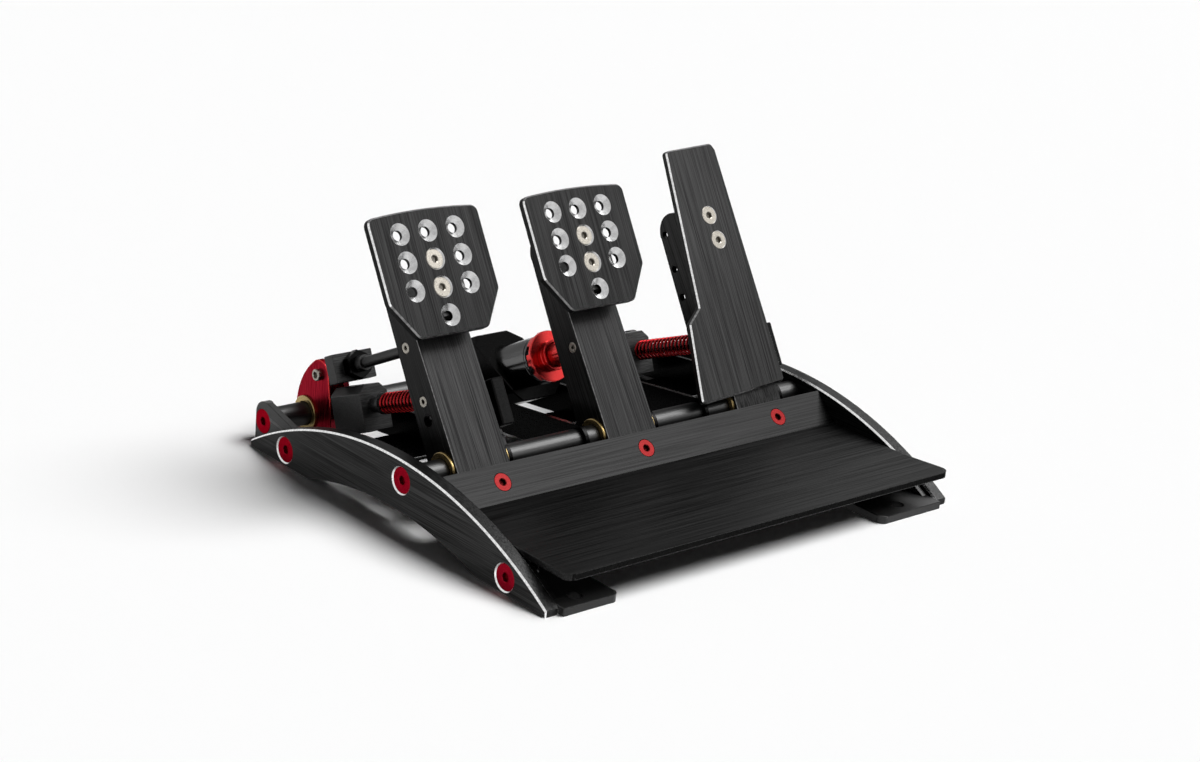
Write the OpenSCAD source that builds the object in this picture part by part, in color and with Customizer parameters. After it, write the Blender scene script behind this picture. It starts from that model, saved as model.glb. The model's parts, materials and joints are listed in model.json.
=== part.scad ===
// Three-pedal foot controller on an open frame: clutch, brake and throttle arms on one axle.
// X runs across the pedals, Y from the driver to the rear, Z up. The origin is the middle of the footprint.

/* [Frame] */
// Clear width between the two side plates
inner_w = 312; // [300:1:330]
// Thickness of a side plate
plate_t = 10; // [8:0.5:12]
// Length of a side plate
plate_len = 283; // [278:1:290]
// Height of a side plate at the middle of its arched top
plate_peak = 44.3; // [43:0.1:47]
// Height of a side plate at its two tips
plate_tip = 4; // [3:0.5:6]
// Length of the flat foot at each end of a side plate
plate_foot = 60.6; // [56:0.2:66]
// Height of the arch under a side plate
arch_h = 12.9; // [10:0.1:15]
// Bare bevel along both top edges of a side plate
plate_bevel = 1; // [0.75:0.25:3]
// Distance of the end screws from the tips of a side plate
end_screw_inset = 36; // [32:0.5:40]
// Height of the end screws
end_screw_z = 9.7; // [9.6:0.1:10.5]

/* [Shafts] */
// Diameter of the pedal axle
axle_d = 15; // [14:0.5:16]
// Distance of the pedal axle from the front tips
axle_y = 132.7; // [130:0.1:135]
// Height of the pedal axle
axle_z = 31.8; // [31:0.1:33]
// Diameter of the rear shaft
shaft_d = 15; // [14:0.5:16]
// Distance of the rear shaft from the front tips
shaft_y = 285.3; // [283:0.1:287]
// Height of the rear shaft
shaft_z = 13.3; // [13:0.1:14.5]

/* [Feet] */
// Thickness of the foot brackets
foot_t = 5; // [3:0.5:6]
// Reach of a left foot's flat flange inwards from the side plate
foot_w = 41; // [38:1:50]
// Extra reach of the right feet, and of their fixing holes
foot_extra = 13; // [0:0.5:16]
// Overhang of a front foot past the tip of its side plate
foot_front = 4; // [2:0.1:5]
// Length of a front foot behind the tip
foot_len = 62; // [58:1:66]
// Drop of a front foot's upright below the top of the side plate
foot_drop = 3; // [2:0.5:5]
// Corner radius of a foot
foot_r = 5; // [4:1:10]
// Diameter of a floor fixing hole
fix_d = 9; // [7:0.5:10]
// Distance of the left fixing holes from the inner face of their side plate
fix_inset = 16.5; // [15:0.1:20]
// Distance of the front fixing holes behind the tips
fix_front = 6.5; // [6:0.1:10]
// Distance of the rear fixing holes behind the tips
fix_rear = 243; // [240:0.5:246]
// Distance of a rear foot's front end behind the tips
rear_foot_start = 215; // [210:1:218]
// Distance from the tips to where a rear foot's flat flange ends
rear_foot_flat = 254; // [250:1:258]
// Reach of a rear foot behind the rear shaft
rear_foot_back = 7.8; // [7.6:0.1:9]
// Height of a rear foot above the rear shaft
rear_foot_rise = 13.2; // [11:0.1:14]
// Radius of a rear foot's upper corner
rear_foot_r = 9; // [6:0.5:10]
// Slope of a rear foot's top edge
rear_foot_slope = 13.8; // [12:0.1:15]

/* [Heel plate] */
// Thickness of the heel plate
heel_t = 4; // [2:0.5:5]
// Overhang of the heel plate past the tips
heel_front = 4; // [2:0.5:12]
// Radius of the heel plate's front corners
heel_r = 6; // [3:0.5:10]
// Overhang of the heel plate's right front corner over the side plate
heel_flare = 5; // [0:0.5:6]
// Height of the heel plate's top
heel_z = 24.6; // [23:0.1:26]
// Distance of the heel plate's bend behind the tips
heel_bend = 91.7; // [88:0.1:94]
// Angle of the heel plate's raised part
heel_angle = 44.5; // [42:0.5:47]
// Length of the heel plate's raised part
heel_rise = 23.5; // [21:0.5:26]
// Distance of the screws from the bend along the raised part
heel_screw_at = 12.25; // [11:0.25:16]
// Sideways offsets of the heel plate's screws from the three pedals
heel_screw_shift = [-1.5, -5.7, -1.7]; // [-8:0.1:4]
// Gap between the heel plate and each side plate
heel_gap = 0.5; // [0.3:0.1:1]

/* [Link brackets] */
// Thickness of the bracket sheet
sheet_t = 2.5; // [2:0.5:3.5]
// Twice the distance of a bracket's right side from the pedal's middle
bracket_in = 44; // [43.6:0.2:46]
// Distance of the brake bracket's left side from the pedal's middle
brake_cheek = 32.6; // [24:0.2:36]
// Distance of the throttle bracket's left side from the pedal's middle
throttle_cheek = 42; // [24:0.5:46]
// Reach of the clutch bracket's flanges past the pedal's middle
clutch_lap = 12; // [8:0.5:16]
// Height of a bracket's side bars
bar_h = 20; // [18:0.5:22]
// Radius of a bracket's rings round the shafts
ring_r = 10.5; // [10:0.25:11.5]
// Distance of the floor of a bracket from the axle
web_start = 52; // [48:1:56]
// Length of the floor of the clutch and throttle brackets
web_len = 50; // [44:1:54]
// Length of the floor of the brake bracket
brake_web_len = 28; // [22:1:30]

/* [Arms] */
// Distance of the outer pedals from the side plates
side_room = 41.9; // [40:0.1:46]
// Distance between the brake and throttle pedals
pedal_pitch = 110.6; // [106:0.2:119]
// Sideways offset of the pedal row from the middle
pedal_shift = -0.9; // [-3:0.1:3]
// Lean of the arms from upright
arm_tilt = 32.1; // [30:0.1:34]
// Width of an arm
arm_w = 39; // [37:0.5:40]
// Depth of an arm
arm_d = 26; // [25:0.5:28]
// Wall of an arm
arm_wall = 4; // [3:0.5:5]
// Slope of the front wall of the clutch and brake arms
arm_taper = 3.4; // [0:0.1:4]
// Reach of an arm's front wall below the axle
arm_toe = 9; // [6:0.5:10]
// Length of an arm from the axle to its rounded top
arm_len = 130; // [127:1:134]
// Outer diameter of a bush sleeve
bush_d = 18; // [17.5:0.5:19]
// Diameter of a bush flange
bush_flange_d = 22.5; // [21:0.5:24]
// Thickness of a bush flange
bush_flange_t = 1.8; // [1:0.1:2]
// Diameter of the cross pins in the arms
pin_d = 7; // [6:0.5:8]
// Distance of the spring pin from the axle along the arm
spring_pin_at = 42.2; // [41:0.1:44]
// Distance of the spring pin behind the arm's middle
spring_pin_back = 2.1; // [1:0.1:3]
// Distance of the clutch rod pin from the axle along the arm
rod_pin_at = 75.7; // [74:0.1:77]
// Distance of the clutch rod pin behind the arm's middle
rod_pin_back = 4.8; // [4:0.1:6]
// Distance of the brake pin from the axle along the arm
brake_pin_at = 56.2; // [55:0.1:58]
// Distance of the brake pin in front of the arm's middle
brake_pin_front = 2.2; // [1:0.1:3]
// Diameter of the spare hole in the clutch arm
spare_d = 7.5; // [6:0.5:8]
// Distance of the spare hole from the axle
spare_at = 30.6; // [29:0.1:31.5]
// Distances of the sensor holes from the axle on the throttle arm
throttle_holes = [76, 95, 118]; // [70:1:120]
// Diameter of the holes on the throttle arm
throttle_hole_d = 5; // [4:0.5:6]
// Distance of those holes behind the arm's middle
throttle_hole_back = 8.5; // [7:0.5:9]

/* [Pads] */
// Thickness of the pads
pad_t = 5; // [4:0.5:6]
// Thickness of the block between an arm and its pad
spacer_t = 6.65; // [5:0.05:8]
// Width of the block between an arm and its pad
spacer_w = 34; // [28:1:39]
// Sideways offset of the clutch pad from its arm
clutch_pad_shift = -3.1; // [-5:0.1:5]
// Sideways offset of the brake pad from its arm
brake_pad_shift = -4.1; // [-5:0.1:5]
// Width of a pad
pad_w = 81.4; // [78:0.2:86]
// Distance of a pad's top edge from the axle
pad_top = 151; // [149:0.5:154]
// Rise of a pad's arched top edge
pad_arch = 1.6; // [1:0.1:3]
// Height of a pad
pad_h = 76; // [74:0.5:80]
// Width of a pad's bottom edge
pad_foot_w = 51; // [46:0.5:56]
// Height of the slanted lower corners of a pad
pad_slant = 22.5; // [18:0.5:26]
// Corner radius of a pad
pad_r = 5; // [3:0.5:7]
// Pitch of the pad holes across
hole_pitch_x = 20.3; // [19:0.1:22]
// Pitch of the pad holes along
hole_pitch_z = 17.1; // [16:0.1:18]
// Distance of the top row of holes below the pad's top edge
hole_top = 13.5; // [12:0.5:15]
// Diameter of the pad holes
hole_d = 6.4; // [6:0.1:7]
// Diameter of the countersinks of the pad holes
hole_sink_d = 13.5; // [12.5:0.1:14.5]
// Thickness of the throttle pad
long_pad_t = 4.5; // [4:0.5:6]
// Distance of the middle of the throttle pad's top edge from the axle
long_pad_top = 168; // [166:0.5:172]
// Distance of the middle of the throttle pad's bottom edge from the axle
long_pad_foot = 4.8; // [4:0.1:7]
// Rise of the throttle pad's top edge from left to right
long_pad_top_rise = 1.5; // [0:0.1:3]
// Rise of the throttle pad's bottom edge from left to right
long_pad_foot_rise = 4.3; // [2:0.1:6]
// Drop of the throttle pad's right shoulder below its top
long_pad_shoulder = 4; // [3.5:0.1:6]
// Left edge of the throttle pad, from its top over the step to its foot
long_pad_left = [-23.1, -32.1, -43.6, -51.6]; // [-60:0.1:-20]
// Right edge of the throttle pad, from its top over the shoulder to its foot
long_pad_right = [17.9, 20.4, 23.9]; // [14:0.1:26]
// Heights of the upper and lower end of the step on the left edge
long_pad_step = [63.5, 54.6]; // [50:0.1:70]
// Corner radius of the throttle pad
long_pad_r = 3; // [2:0.25:3.5]
// Places of the throttle pad's screws across the arm
long_screw_x = [-1.3, 0.9]; // [-6:0.1:4]
// Distances of the throttle pad's screws from the axle
long_screw_z = [121.8, 105]; // [96:0.1:123]

/* [Springs] */
// Outer diameter of a spring
spring_d = 13.5; // [12:0.1:14]
// Diameter of a spring's wire
wire_d = 2; // [1.6:0.1:2.2]
// Number of curls of the clutch spring
clutch_curls = 15; // [12:1:16]
// Number of curls of the throttle spring
throttle_curls = 20; // [16:1:21]
// Distance of the clutch spring's rear seat from its pin
clutch_seat = 64.5; // [62:0.5:67]
// Diameter of a spring's guide rod
guide_d = 6; // [5:0.5:6.5]
// Length of a guide rod past its pin
guide_len = 91; // [88:1:92]

/* [Strut blocks] */
// Distance of the clutch block's front face from its pin
clutch_block_at = 75; // [72:0.5:78]
// Distance of the throttle block's front face from its pin
throttle_block_at = 84; // [82:0.5:86]
// Distance of the blocks' rear faces from their pins
block_end = 106.5; // [105:0.5:107]
// Width of a block
block_w = 21; // [18:0.5:24]
// Height of a block above its strut's line
block_up = 13; // [11:0.5:13]
// Depth of a block below its strut's line
block_down = 16; // [13:0.5:16]
// Bevel of a block's upper edges
block_bevel = 5; // [2:0.5:7]
// Thickness of a block's tail between the levers
tail_t = 6.4; // [5:0.1:6.5]
// Radius of a block's eye round the rear shaft
tail_r = 11; // [10:0.5:12]
// Diameter of the clutch block's neck
neck_d = 10; // [9:0.5:11]

/* [Clutch levers] */
// Thickness of a lever
lever_t = 4.5; // [3.5:0.5:6]
// Gap between the two levers
lever_gap = 7; // [6.8:0.1:9]
// Radius of a lever round the rear shaft
lever_boss_r = 12.5; // [12:0.25:13]
// Radius of a lever's top
lever_top_r = 9.5; // [9:0.25:10.5]
// Distance of the lever pin in front of the rear shaft
lever_pin_front = 10.6; // [10:0.1:11.5]
// Height of the lever pin above the rear shaft
lever_pin_up = 29.1; // [28:0.1:30]
// Reach of a lever's lower front corner in front of the rear shaft
lever_toe = 25.5; // [22:0.5:26]
// Bulge of a lever's rear edge
lever_bulge = 4.1; // [3:0.1:5]
// Diameter of the lever pin
lever_pin_d = 5.4; // [4:0.1:6]

/* [Clutch rod] */
// Diameter of the push rod
rod_d = 7; // [6:0.5:8]
// Distance of the trunnion's front face from the rod pin
trunnion_at = 82; // [80:0.5:83]
// Thickness of the trunnion's head
trunnion_t = 9; // [8:0.5:9.5]
// Width of the trunnion's head
trunnion_w = 30; // [26:1:34]
// Height of the trunnion's head
trunnion_h = 18; // [16:0.5:18.5]
// Radius of the trunnion's tongue round the lever pin
tongue_r = 8; // [7:0.5:8.5]
// Play of the lever pin in the tongue
tongue_play = 1.7; // [1.6:0.05:2]
// Size of the lock nut across its flats
nut_af = 16; // [13:0.5:17]
// Thickness of the lock nut
nut_t = 6.5; // [5:0.5:8]

/* [Brake strut] */
// Diameter of the brake piston
piston_d = 15; // [13:0.5:16]
// Diameter of the piston's head inside the cylinder
piston_head_d = 24; // [22:0.5:24.5]
// Distance of the adjuster's hub from the brake pin
hub_at = 40; // [38:0.5:42]
// Length of the adjuster's hub
hub_len = 5; // [4:0.5:7]
// Diameter of the adjuster's hub
hub_d = 19.5; // [18.8:0.1:21]
// Diameter of the adjuster's ring
ring_d = 33; // [31:0.5:35]
// Width of the adjuster's ring
ring_w = 5; // [4:0.5:8]
// Number of notches round the adjuster
notches = 8; // [6:1:12]
// Width of a notch
notch_w = 5; // [3:0.5:6]
// Depth of a notch
notch_d = 2.5; // [1.5:0.25:3]
// Outer diameter of the brake cylinder
cyl_d = 29.5; // [28:0.5:31]
// Wall of the brake cylinder
cyl_wall = 1.9; // [1.5:0.1:2.2]
// Distance of the cylinder's rear end from the brake pin
cyl_end = 92; // [90:0.5:94]
// Distance of the housing's lower front edge from the brake pin
housing_at = 66; // [64:0.5:70]
// Height at which the housing's slanted front begins
housing_low = -15; // [-17:0.5:-12]
// Distance from the brake pin to where the slanted front meets the top
housing_top_at = 99; // [95:0.5:104]
// Distance of the housing's rear face from the brake pin
housing_end = 114; // [110:0.5:116]
// Width of the housing
housing_w = 40; // [36:0.5:41]
// Height of the housing above its strut's line
housing_up = 25; // [22:0.5:26]
// Depth of the housing below its strut's line
housing_down = 24; // [20:0.5:24]
// Bevel of the housing's long edges
housing_bevel = 7; // [4:0.5:9]
// Number of rubber rings in the cylinder
rubbers = 3; // [2:1:4]
// Diameter of the load cell
cell_d = 26; // [22:0.5:27]
// Thickness of the load cell
cell_t = 12; // [10:0.5:14]

/* [Sensors] */
// Width of a sensor box
sensor_w = 9; // [7:0.5:10]
// Depth of a sensor box
sensor_d = 20; // [16:0.5:22]
// Height of a sensor box
sensor_h = 29; // [24:0.5:32]
// Distance of a sensor box's middle from the axle along the arm
sensor_at = 32.4; // [30:0.1:35]
// Depth of a buzzer block on the back of an arm
buzzer_d = 14; // [10:0.5:16]
// Height of a buzzer block
buzzer_h = 18; // [14:0.5:20]
// Distance of a buzzer block's middle from the axle along the arm
buzzer_at = 105; // [100:0.5:108]
// Stand of a buzzer block behind the arm's edges
buzzer_out = 4; // [2:0.5:5]

/* [Screws] */
// Diameter of the M8 screws
m8 = 8; // [8:0.1:8]
// Head diameter of the M8 screws
m8_head = 16; // [15:0.1:16.5]
// Diameter of the countersink rims in the side plates
rim_d = 17.8; // [17:0.1:18.5]
// Diameter of the M6 screws
m6 = 6; // [6:0.1:6]
// Head diameter of the M6 screws
m6_head = 12; // [11:0.1:12.5]
// Diameter of the round clinch nuts in the feet
clinch_d = 10.8; // [10.2:0.1:11]
// Thickness of the clinch nuts
clinch_t = 5.5; // [5:0.1:6.5]
// Running clearance round a shaft or a pin, on the radius
run = 0.05; // [0.02:0.01:0.1]
// Clearance round a screw or a pressed piece, on the radius
slack = 0.1; // [0.05:0.05:0.2]

/* [Hidden] */
$fn = 64;
// Overlap of joined pieces, and reach of a cut past the face it cuts
eps = 0.01;
over = 1;
wire_sides = 6;
rings_per_curl = 8;
// Places of the pedals
half_in = inner_w / 2;
clutch_x = pedal_shift - half_in + side_room;
throttle_x = pedal_shift + half_in - side_room;
brake_x = throttle_x - pedal_pitch;
heel_screw_x = [clutch_x, brake_x, throttle_x] + heel_screw_shift;
// Radii of the side plate's arched top and of the arch below it
function arc_radius(half, rise) = (half * half + rise * rise) / (2 * rise);
top_r = arc_radius(plate_len / 2, plate_peak - plate_tip);
arch_half = plate_len / 2 - plate_foot;
arch_r = arc_radius(arch_half, arch_h);
// Distance behind the tips up to which the side plate stays below the heel plate, which may overhang it there
heel_under = heel_z - heel_t - heel_gap - plate_peak + top_r;
heel_flare_at = plate_len / 2 - sqrt(top_r * top_r - heel_under * heel_under);
// Middle of the footprint along Y, between the foremost edge and the levers' rear
y_mid = (shaft_y + lever_boss_r - max(heel_front, foot_front)) / 2;
// Line from the axle to the rear shaft
link_dy = shaft_y - axle_y;
link_dz = shaft_z - axle_z;
link_len = norm([link_dy, link_dz]);
link_angle = atan2(link_dz, link_dy);
// A point on an arm at rest, by its distances along and behind the arm's middle
function arm_point(along, back) = [
    axle_y + along * sin(arm_tilt) + back * cos(arm_tilt),
    axle_z + along * cos(arm_tilt) - back * sin(arm_tilt)
];
spring_pin = arm_point(spring_pin_at, spring_pin_back);
rod_pin = arm_point(rod_pin_at, rod_pin_back);
brake_pin = arm_point(brake_pin_at, -brake_pin_front);
shaft_point = [shaft_y, shaft_z];
lever_pin = shaft_point + [-lever_pin_front, lever_pin_up];
function aim(from, to) = atan2(to[1] - from[1], to[0] - from[0]);
spring_angle = aim(spring_pin, shaft_point);
spring_reach = norm(shaft_point - spring_pin);
brake_angle = aim(brake_pin, shaft_point);
brake_reach = norm(shaft_point - brake_pin);
rod_angle = aim(rod_pin, lever_pin);
rod_reach = norm(lever_pin - rod_pin);
// Eyes and collars on the struts
eye_wall = 3.5;
eye_d = pin_d + 2 * eye_wall;
eye_w = 12;
collar_bite = 1;
collar_at = eye_d / 2 - collar_bite;
collar_t = 3;
collar_end = collar_at + collar_t;
guide_play = 0.9;
// Spring blocks: wall behind the guide bore, waist of the tail and the clutch spring's seat
bore_wall = 2;
tail_waist = 4;
seat_t = 2;
spring_seat_gap = 0.3;
// Flange of a link bracket under the heel plate, and how far its gussets stay inside it
flange_from = 4;
flange_to = heel_rise - 1;
flange_lap = 1;
ring_bite = 1.5;
sensor_ear_inset = 2;
pad_room = 17;
sensor_ear_w = sensor_d - 2 * sensor_ear_inset;
sensor_screw_d = 5;
sensor_screw_t = 2.5;
// Clutch levers: angles where the edges leave the round top and the boss, and the toe's corners
lever_out = lever_gap / 2 + lever_t;
lever_back_from = 62;
lever_back_to = 22;
lever_front_at = 172;
lever_foot_at = -108;
lever_arc_steps = 16;
lever_toe_cut = 6;
lever_toe_z = [-6.9, -2.5, 4];
lever_head_d = 7.5;
lever_head_t = 3;
lever_socket_depth = 2;
// Push rod: collar in front of the lock nut, and the gaps at its end in the trunnion
rod_collar_d = 10;
rod_collar_t = 6;
rod_end_gap = 2;
rod_bore_wall = 1;
tongue_side_gap = 0.3;
// Brake inner stack
cyl_at = hub_at + hub_len + ring_w;
cyl_in = cyl_d - 2 * cyl_wall;
piston_play = 0.7;
head_t = 3;
head_gap = 3;
head_at = cyl_at + head_gap;
piston_eye_wall = 1.5;
piston_eye_d = pin_d + 2 * piston_eye_wall;
piston_eye_w = eye_w + 2;
// Gap round the piston's eye where it sinks into the arm's front wall
eye_pocket = 1;
cell_seat = 14;
rubber_gap = 0.3;
rubber_from = head_at + head_t + rubber_gap;
cell_at = cyl_end + cell_seat - cell_t;
rubber_t = (cell_at - rubber_gap - rubber_from) / rubbers;
rubber_bore = 8;
rubber_side_gap = 0.5;
cyl_gap = 2;
notch_len = 3;
ear_t = 6;
ear_from = 11;
ear_r = 11;
// Heads and sockets of the screws
m8_socket = 5;
m6_socket = 4;
socket_depth = 3;
head_sink = (rim_d - m8_head) / 2;
shank_m8 = 20;
// Head of the screws in the rear shaft, as wide as the foot's sheet allows
rear_head = min(m8_head, m8 + 2 * foot_t - 1);
// Depth at which an M6 head sits in a pad's wider countersink
screw_sink = (hole_sink_d - m6_head) / 2 - slack;
// Rear feet: rear end and middle of the round corner
rear_foot_end = shaft_y + rear_foot_back;
rear_corner = [rear_foot_end - rear_foot_r, shaft_z + rear_foot_rise - rear_foot_r];
// Rows of the pad holes, the two rows with screws, and a pad's front face
function row_z(k) = pad_top - hole_top - k * hole_pitch_z;
pad_screw_rows = [row_z(1), row_z(2)];
pad_back = arm_d / 2 + spacer_t;
pad_front = pad_back + pad_t;
// Front face of an arm at a height above the axle, straight or sloped
function arm_face(h, lean) = -arm_d / 2 + (h + arm_toe) * tan(lean);

// Frames: the tip frame, an arm's frame and a strut's frame
module tip_frame() { translate([0, -y_mid, 0]) children(); }
module arm_frame(x) { tip_frame() translate([x, axle_y, axle_z]) rotate([-arm_tilt, 0, 0]) children(); }
module strut_frame(x, pin, angle) {
    tip_frame() translate([x, pin[0], pin[1]]) rotate([angle, 0, 0]) children();
}
module heel_frame(x) {
    tip_frame() translate([x, heel_bend, heel_z]) rotate([heel_angle, 0, 0]) children();
}

// Round bars along X, centred, and along Y, from the origin
module bar_x(d, l) { rotate([0, 90, 0]) cylinder(d = d, h = l, center = true); }
module bar_y(d, l) { rotate([-90, 0, 0]) cylinder(d = d, h = l); }
// A sheet in the YZ plane, from x = 0 to x = t
module sheet_x(t) { rotate([90, 0, 90]) linear_extrude(t) children(); }
// A sheet in the XZ plane, from y = 0 to y = t
module sheet_y(t) { translate([0, t, 0]) rotate([90, 0, 0]) linear_extrude(t) children(); }

// A countersunk screw along -Z, with its flat head at z = 0
module sunk_screw(d, head, len, socket) {
    head_h = (head - d) / 2;
    difference() {
        union() {
            translate([0, 0, -head_h]) cylinder(d1 = d, d2 = head, h = head_h);
            translate([0, 0, -len]) cylinder(d = d, h = len - head_h + eps);
        }
        translate([0, 0, -socket_depth]) cylinder(d = socket / cos(30), h = socket_depth + over, $fn = 6);
    }
}
// The hole for such a screw, with a rim at z = 0
module sunk_hole(d, rim, len) {
    sink = (rim - d) / 2;
    translate([0, 0, -sink]) cylinder(d1 = d, d2 = rim, h = sink);
    translate([0, 0, -len]) cylinder(d = d, h = len);
    cylinder(d = rim, h = over);
}

// Where the three screws of a side plate sit
function side_screws() = [
    [end_screw_inset, end_screw_z],
    [axle_y, axle_z],
    [plate_len - end_screw_inset, end_screw_z]
];

// One side plate, its inner face at x = 0 and its countersinks outwards
module side_plate() {
    difference() {
        intersection() {
            cube([plate_t, plate_len, plate_peak]);
            translate([0, plate_len / 2, plate_peak - top_r]) rotate([0, 90, 0]) rotate_extrude($fn = 180)
                polygon([
                    [0, 0], [top_r - plate_bevel, 0], [top_r, plate_bevel], [top_r, plate_t - plate_bevel],
                    [top_r - plate_bevel, plate_t], [0, plate_t]
                ]);
        }
        translate([plate_t / 2, plate_len / 2, arch_h - arch_r]) rotate([0, 90, 0])
            cylinder(r = arch_r, h = plate_t + 2 * over, center = true, $fn = 180);
        for (p = side_screws())
            translate([plate_t, p[0], p[1]]) rotate([0, 90, 0])
                sunk_hole(m8 + 2 * slack, rim_d, plate_t + over);
    }
}
module left_side_plate() {
    color([0.09, 0.09, 0.1]) tip_frame() mirror([1, 0, 0]) translate([half_in, 0, 0]) side_plate();
}
module right_side_plate() {
    color([0.09, 0.09, 0.1]) tip_frame() translate([half_in, 0, 0]) side_plate();
}

// The hole for a side plate's screw in a foot on the right, with room for its clinch nut
module foot_screw_hole(y) {
    translate([half_in, y, end_screw_z]) bar_x(m8 + 2 * slack, 3 * foot_t);
    translate([half_in - foot_t - clinch_t - slack, y, end_screw_z]) rotate([0, 90, 0])
        cylinder(d = clinch_d + 2 * slack, h = clinch_t + slack);
}

// A front foot on the right: a flat flange, and an upright under the heel plate that follows the arch
module front_foot(extra) {
    reach = foot_w + extra;
    difference() {
        union() {
            intersection() {
                translate([half_in - foot_t, 0, 0]) cube([foot_t, foot_len, heel_z - heel_t]);
                translate([half_in, plate_len / 2, plate_peak - top_r]) rotate([0, 90, 0])
                    cylinder(r = top_r - foot_drop, h = 3 * foot_t, center = true, $fn = 180);
            }
            translate([half_in - reach, -foot_front, 0]) linear_extrude(foot_t) union() {
                translate([foot_r, 0]) square([reach - foot_r, foot_front + foot_len]);
                translate([0, foot_r]) square([reach, foot_front + foot_len - foot_r]);
                translate([foot_r, foot_r]) circle(r = foot_r);
            }
        }
        translate([half_in - fix_inset - extra, fix_front, -over])
            cylinder(d = fix_d, h = foot_t + 2 * over);
        foot_screw_hole(end_screw_inset);
    }
}
module front_left_foot() { color([0.07, 0.07, 0.07]) tip_frame() mirror([1, 0, 0]) front_foot(0); }
module front_right_foot() { color([0.07, 0.07, 0.07]) tip_frame() front_foot(foot_extra); }

// A rear foot on the right: an upright with a rounded top round the rear shaft's screw, and a flat flange
module rear_foot(extra) {
    corner_start = rear_corner + rear_foot_r * [-sin(rear_foot_slope), cos(rear_foot_slope)];
    front_top = corner_start[1] - (corner_start[0] - rear_foot_start) * tan(rear_foot_slope);
    difference() {
        union() {
            translate([half_in - foot_t, 0, 0]) sheet_x(foot_t) union() {
                polygon([
                    [rear_foot_start, 0], [rear_foot_start, max(front_top, foot_t)], corner_start,
                    rear_corner, [rear_foot_end, rear_corner[1]], [rear_foot_end, 0]
                ]);
                translate(rear_corner) circle(r = rear_foot_r);
            }
            translate([half_in - foot_w - extra + foot_r, rear_foot_start, 0])
                cube([foot_w + extra - foot_r, rear_foot_flat - rear_foot_start, foot_t]);
        }
        translate([half_in - fix_inset - extra, fix_rear, -over])
            cylinder(d = fix_d, h = foot_t + 2 * over);
        foot_screw_hole(plate_len - end_screw_inset);
        translate([half_in, shaft_y, shaft_z]) rotate([0, 90, 0])
            sunk_hole(m8 + 2 * slack, rear_head, 2 * foot_t);
    }
}
module rear_left_foot() { color([0.07, 0.07, 0.07]) tip_frame() mirror([1, 0, 0]) rear_foot(0); }
module rear_right_foot() { color([0.07, 0.07, 0.07]) tip_frame() rear_foot(foot_extra); }

// Bent heel plate with its three sunk screw holes
module heel_plate() {
    width = inner_w - 2 * heel_gap;
    right = width / 2 + heel_flare;
    corner = heel_t * tan(heel_angle / 2);
    color([0.13, 0.13, 0.14]) difference() {
        tip_frame() intersection() {
            translate([-width / 2, 0, 0]) sheet_x(width + heel_flare) polygon([
                [-heel_front, heel_z - heel_t], [-heel_front, heel_z], [heel_bend, heel_z],
                [heel_bend + heel_rise * cos(heel_angle), heel_z + heel_rise * sin(heel_angle)],
                [heel_bend + heel_rise * cos(heel_angle) + heel_t * sin(heel_angle),
                    heel_z + heel_rise * sin(heel_angle) - heel_t * cos(heel_angle)],
                [heel_bend + corner, heel_z - heel_t]
            ]);
            translate([0, -heel_front, 0]) linear_extrude(plate_peak) union() {
                translate([-width / 2, heel_r]) square([width, heel_bend + heel_front + heel_rise]);
                translate([heel_r - width / 2, heel_r]) circle(r = heel_r);
                translate([right - heel_r, heel_r]) circle(r = heel_r);
                translate([heel_r - width / 2, 0]) square([width / 2 + right - 2 * heel_r, 2 * heel_r]);
                polygon([
                    [0, heel_r], [right, heel_r], [width / 2, heel_front + heel_flare_at], [0, heel_bend]
                ]);
            }
        }
        for (x = heel_screw_x)
            heel_frame(x) translate([0, heel_screw_at, 0])
                sunk_hole(m6 + 2 * slack, m6_head, heel_t + sheet_t);
    }
}

// The two shafts, tapped at their ends
module pedal_axle() {
    color([0.1, 0.1, 0.1]) tip_frame() translate([0, axle_y, axle_z]) tapped_bar(axle_d, inner_w);
}
module rear_shaft() {
    color([0.1, 0.1, 0.1]) tip_frame() translate([0, shaft_y, shaft_z])
        tapped_bar(shaft_d, inner_w - 2 * foot_t);
}
module tapped_bar(d, l) {
    difference() {
        bar_x(d, l);
        for (s = [-1, 1]) translate([s * l / 2, 0, 0]) bar_x(m8 + 2 * slack, 2 * shank_m8);
    }
}

// Red screws of the frame
module side_plate_screws() {
    color([0.75, 0.06, 0.1]) tip_frame() for (s = [0, 1], p = side_screws())
        mirror([s, 0, 0]) translate([half_in + plate_t - head_sink, p[0], p[1]]) rotate([0, 90, 0])
            sunk_screw(m8, m8_head, plate_t - head_sink + foot_t + clinch_t, m8_socket);
}
module foot_clinch_nuts() {
    color([0.2, 0.2, 0.2]) tip_frame() for (s = [0, 1], p = [side_screws()[0], side_screws()[2]])
        mirror([s, 0, 0]) translate([half_in - foot_t - clinch_t, p[0], p[1]]) rotate([0, 90, 0])
            difference() {
                cylinder(d = clinch_d, h = clinch_t);
                translate([0, 0, -over]) cylinder(d = m8 + 2 * slack, h = clinch_t + 2 * over);
            }
}
module rear_shaft_screws() {
    color([0.75, 0.06, 0.1]) tip_frame() for (s = [0, 1])
        mirror([s, 0, 0]) translate([half_in, shaft_y, shaft_z]) rotate([0, 90, 0])
            sunk_screw(m8, rear_head - 2 * slack, shank_m8, m8_socket);
}
module heel_plate_screws() {
    color([0.85, 0.2, 0.2]) for (x = heel_screw_x)
        heel_frame(x) translate([0, heel_screw_at, 0])
            sunk_screw(m6, m6_head - 2 * slack, heel_t + sheet_t, m6_socket);
}

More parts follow.
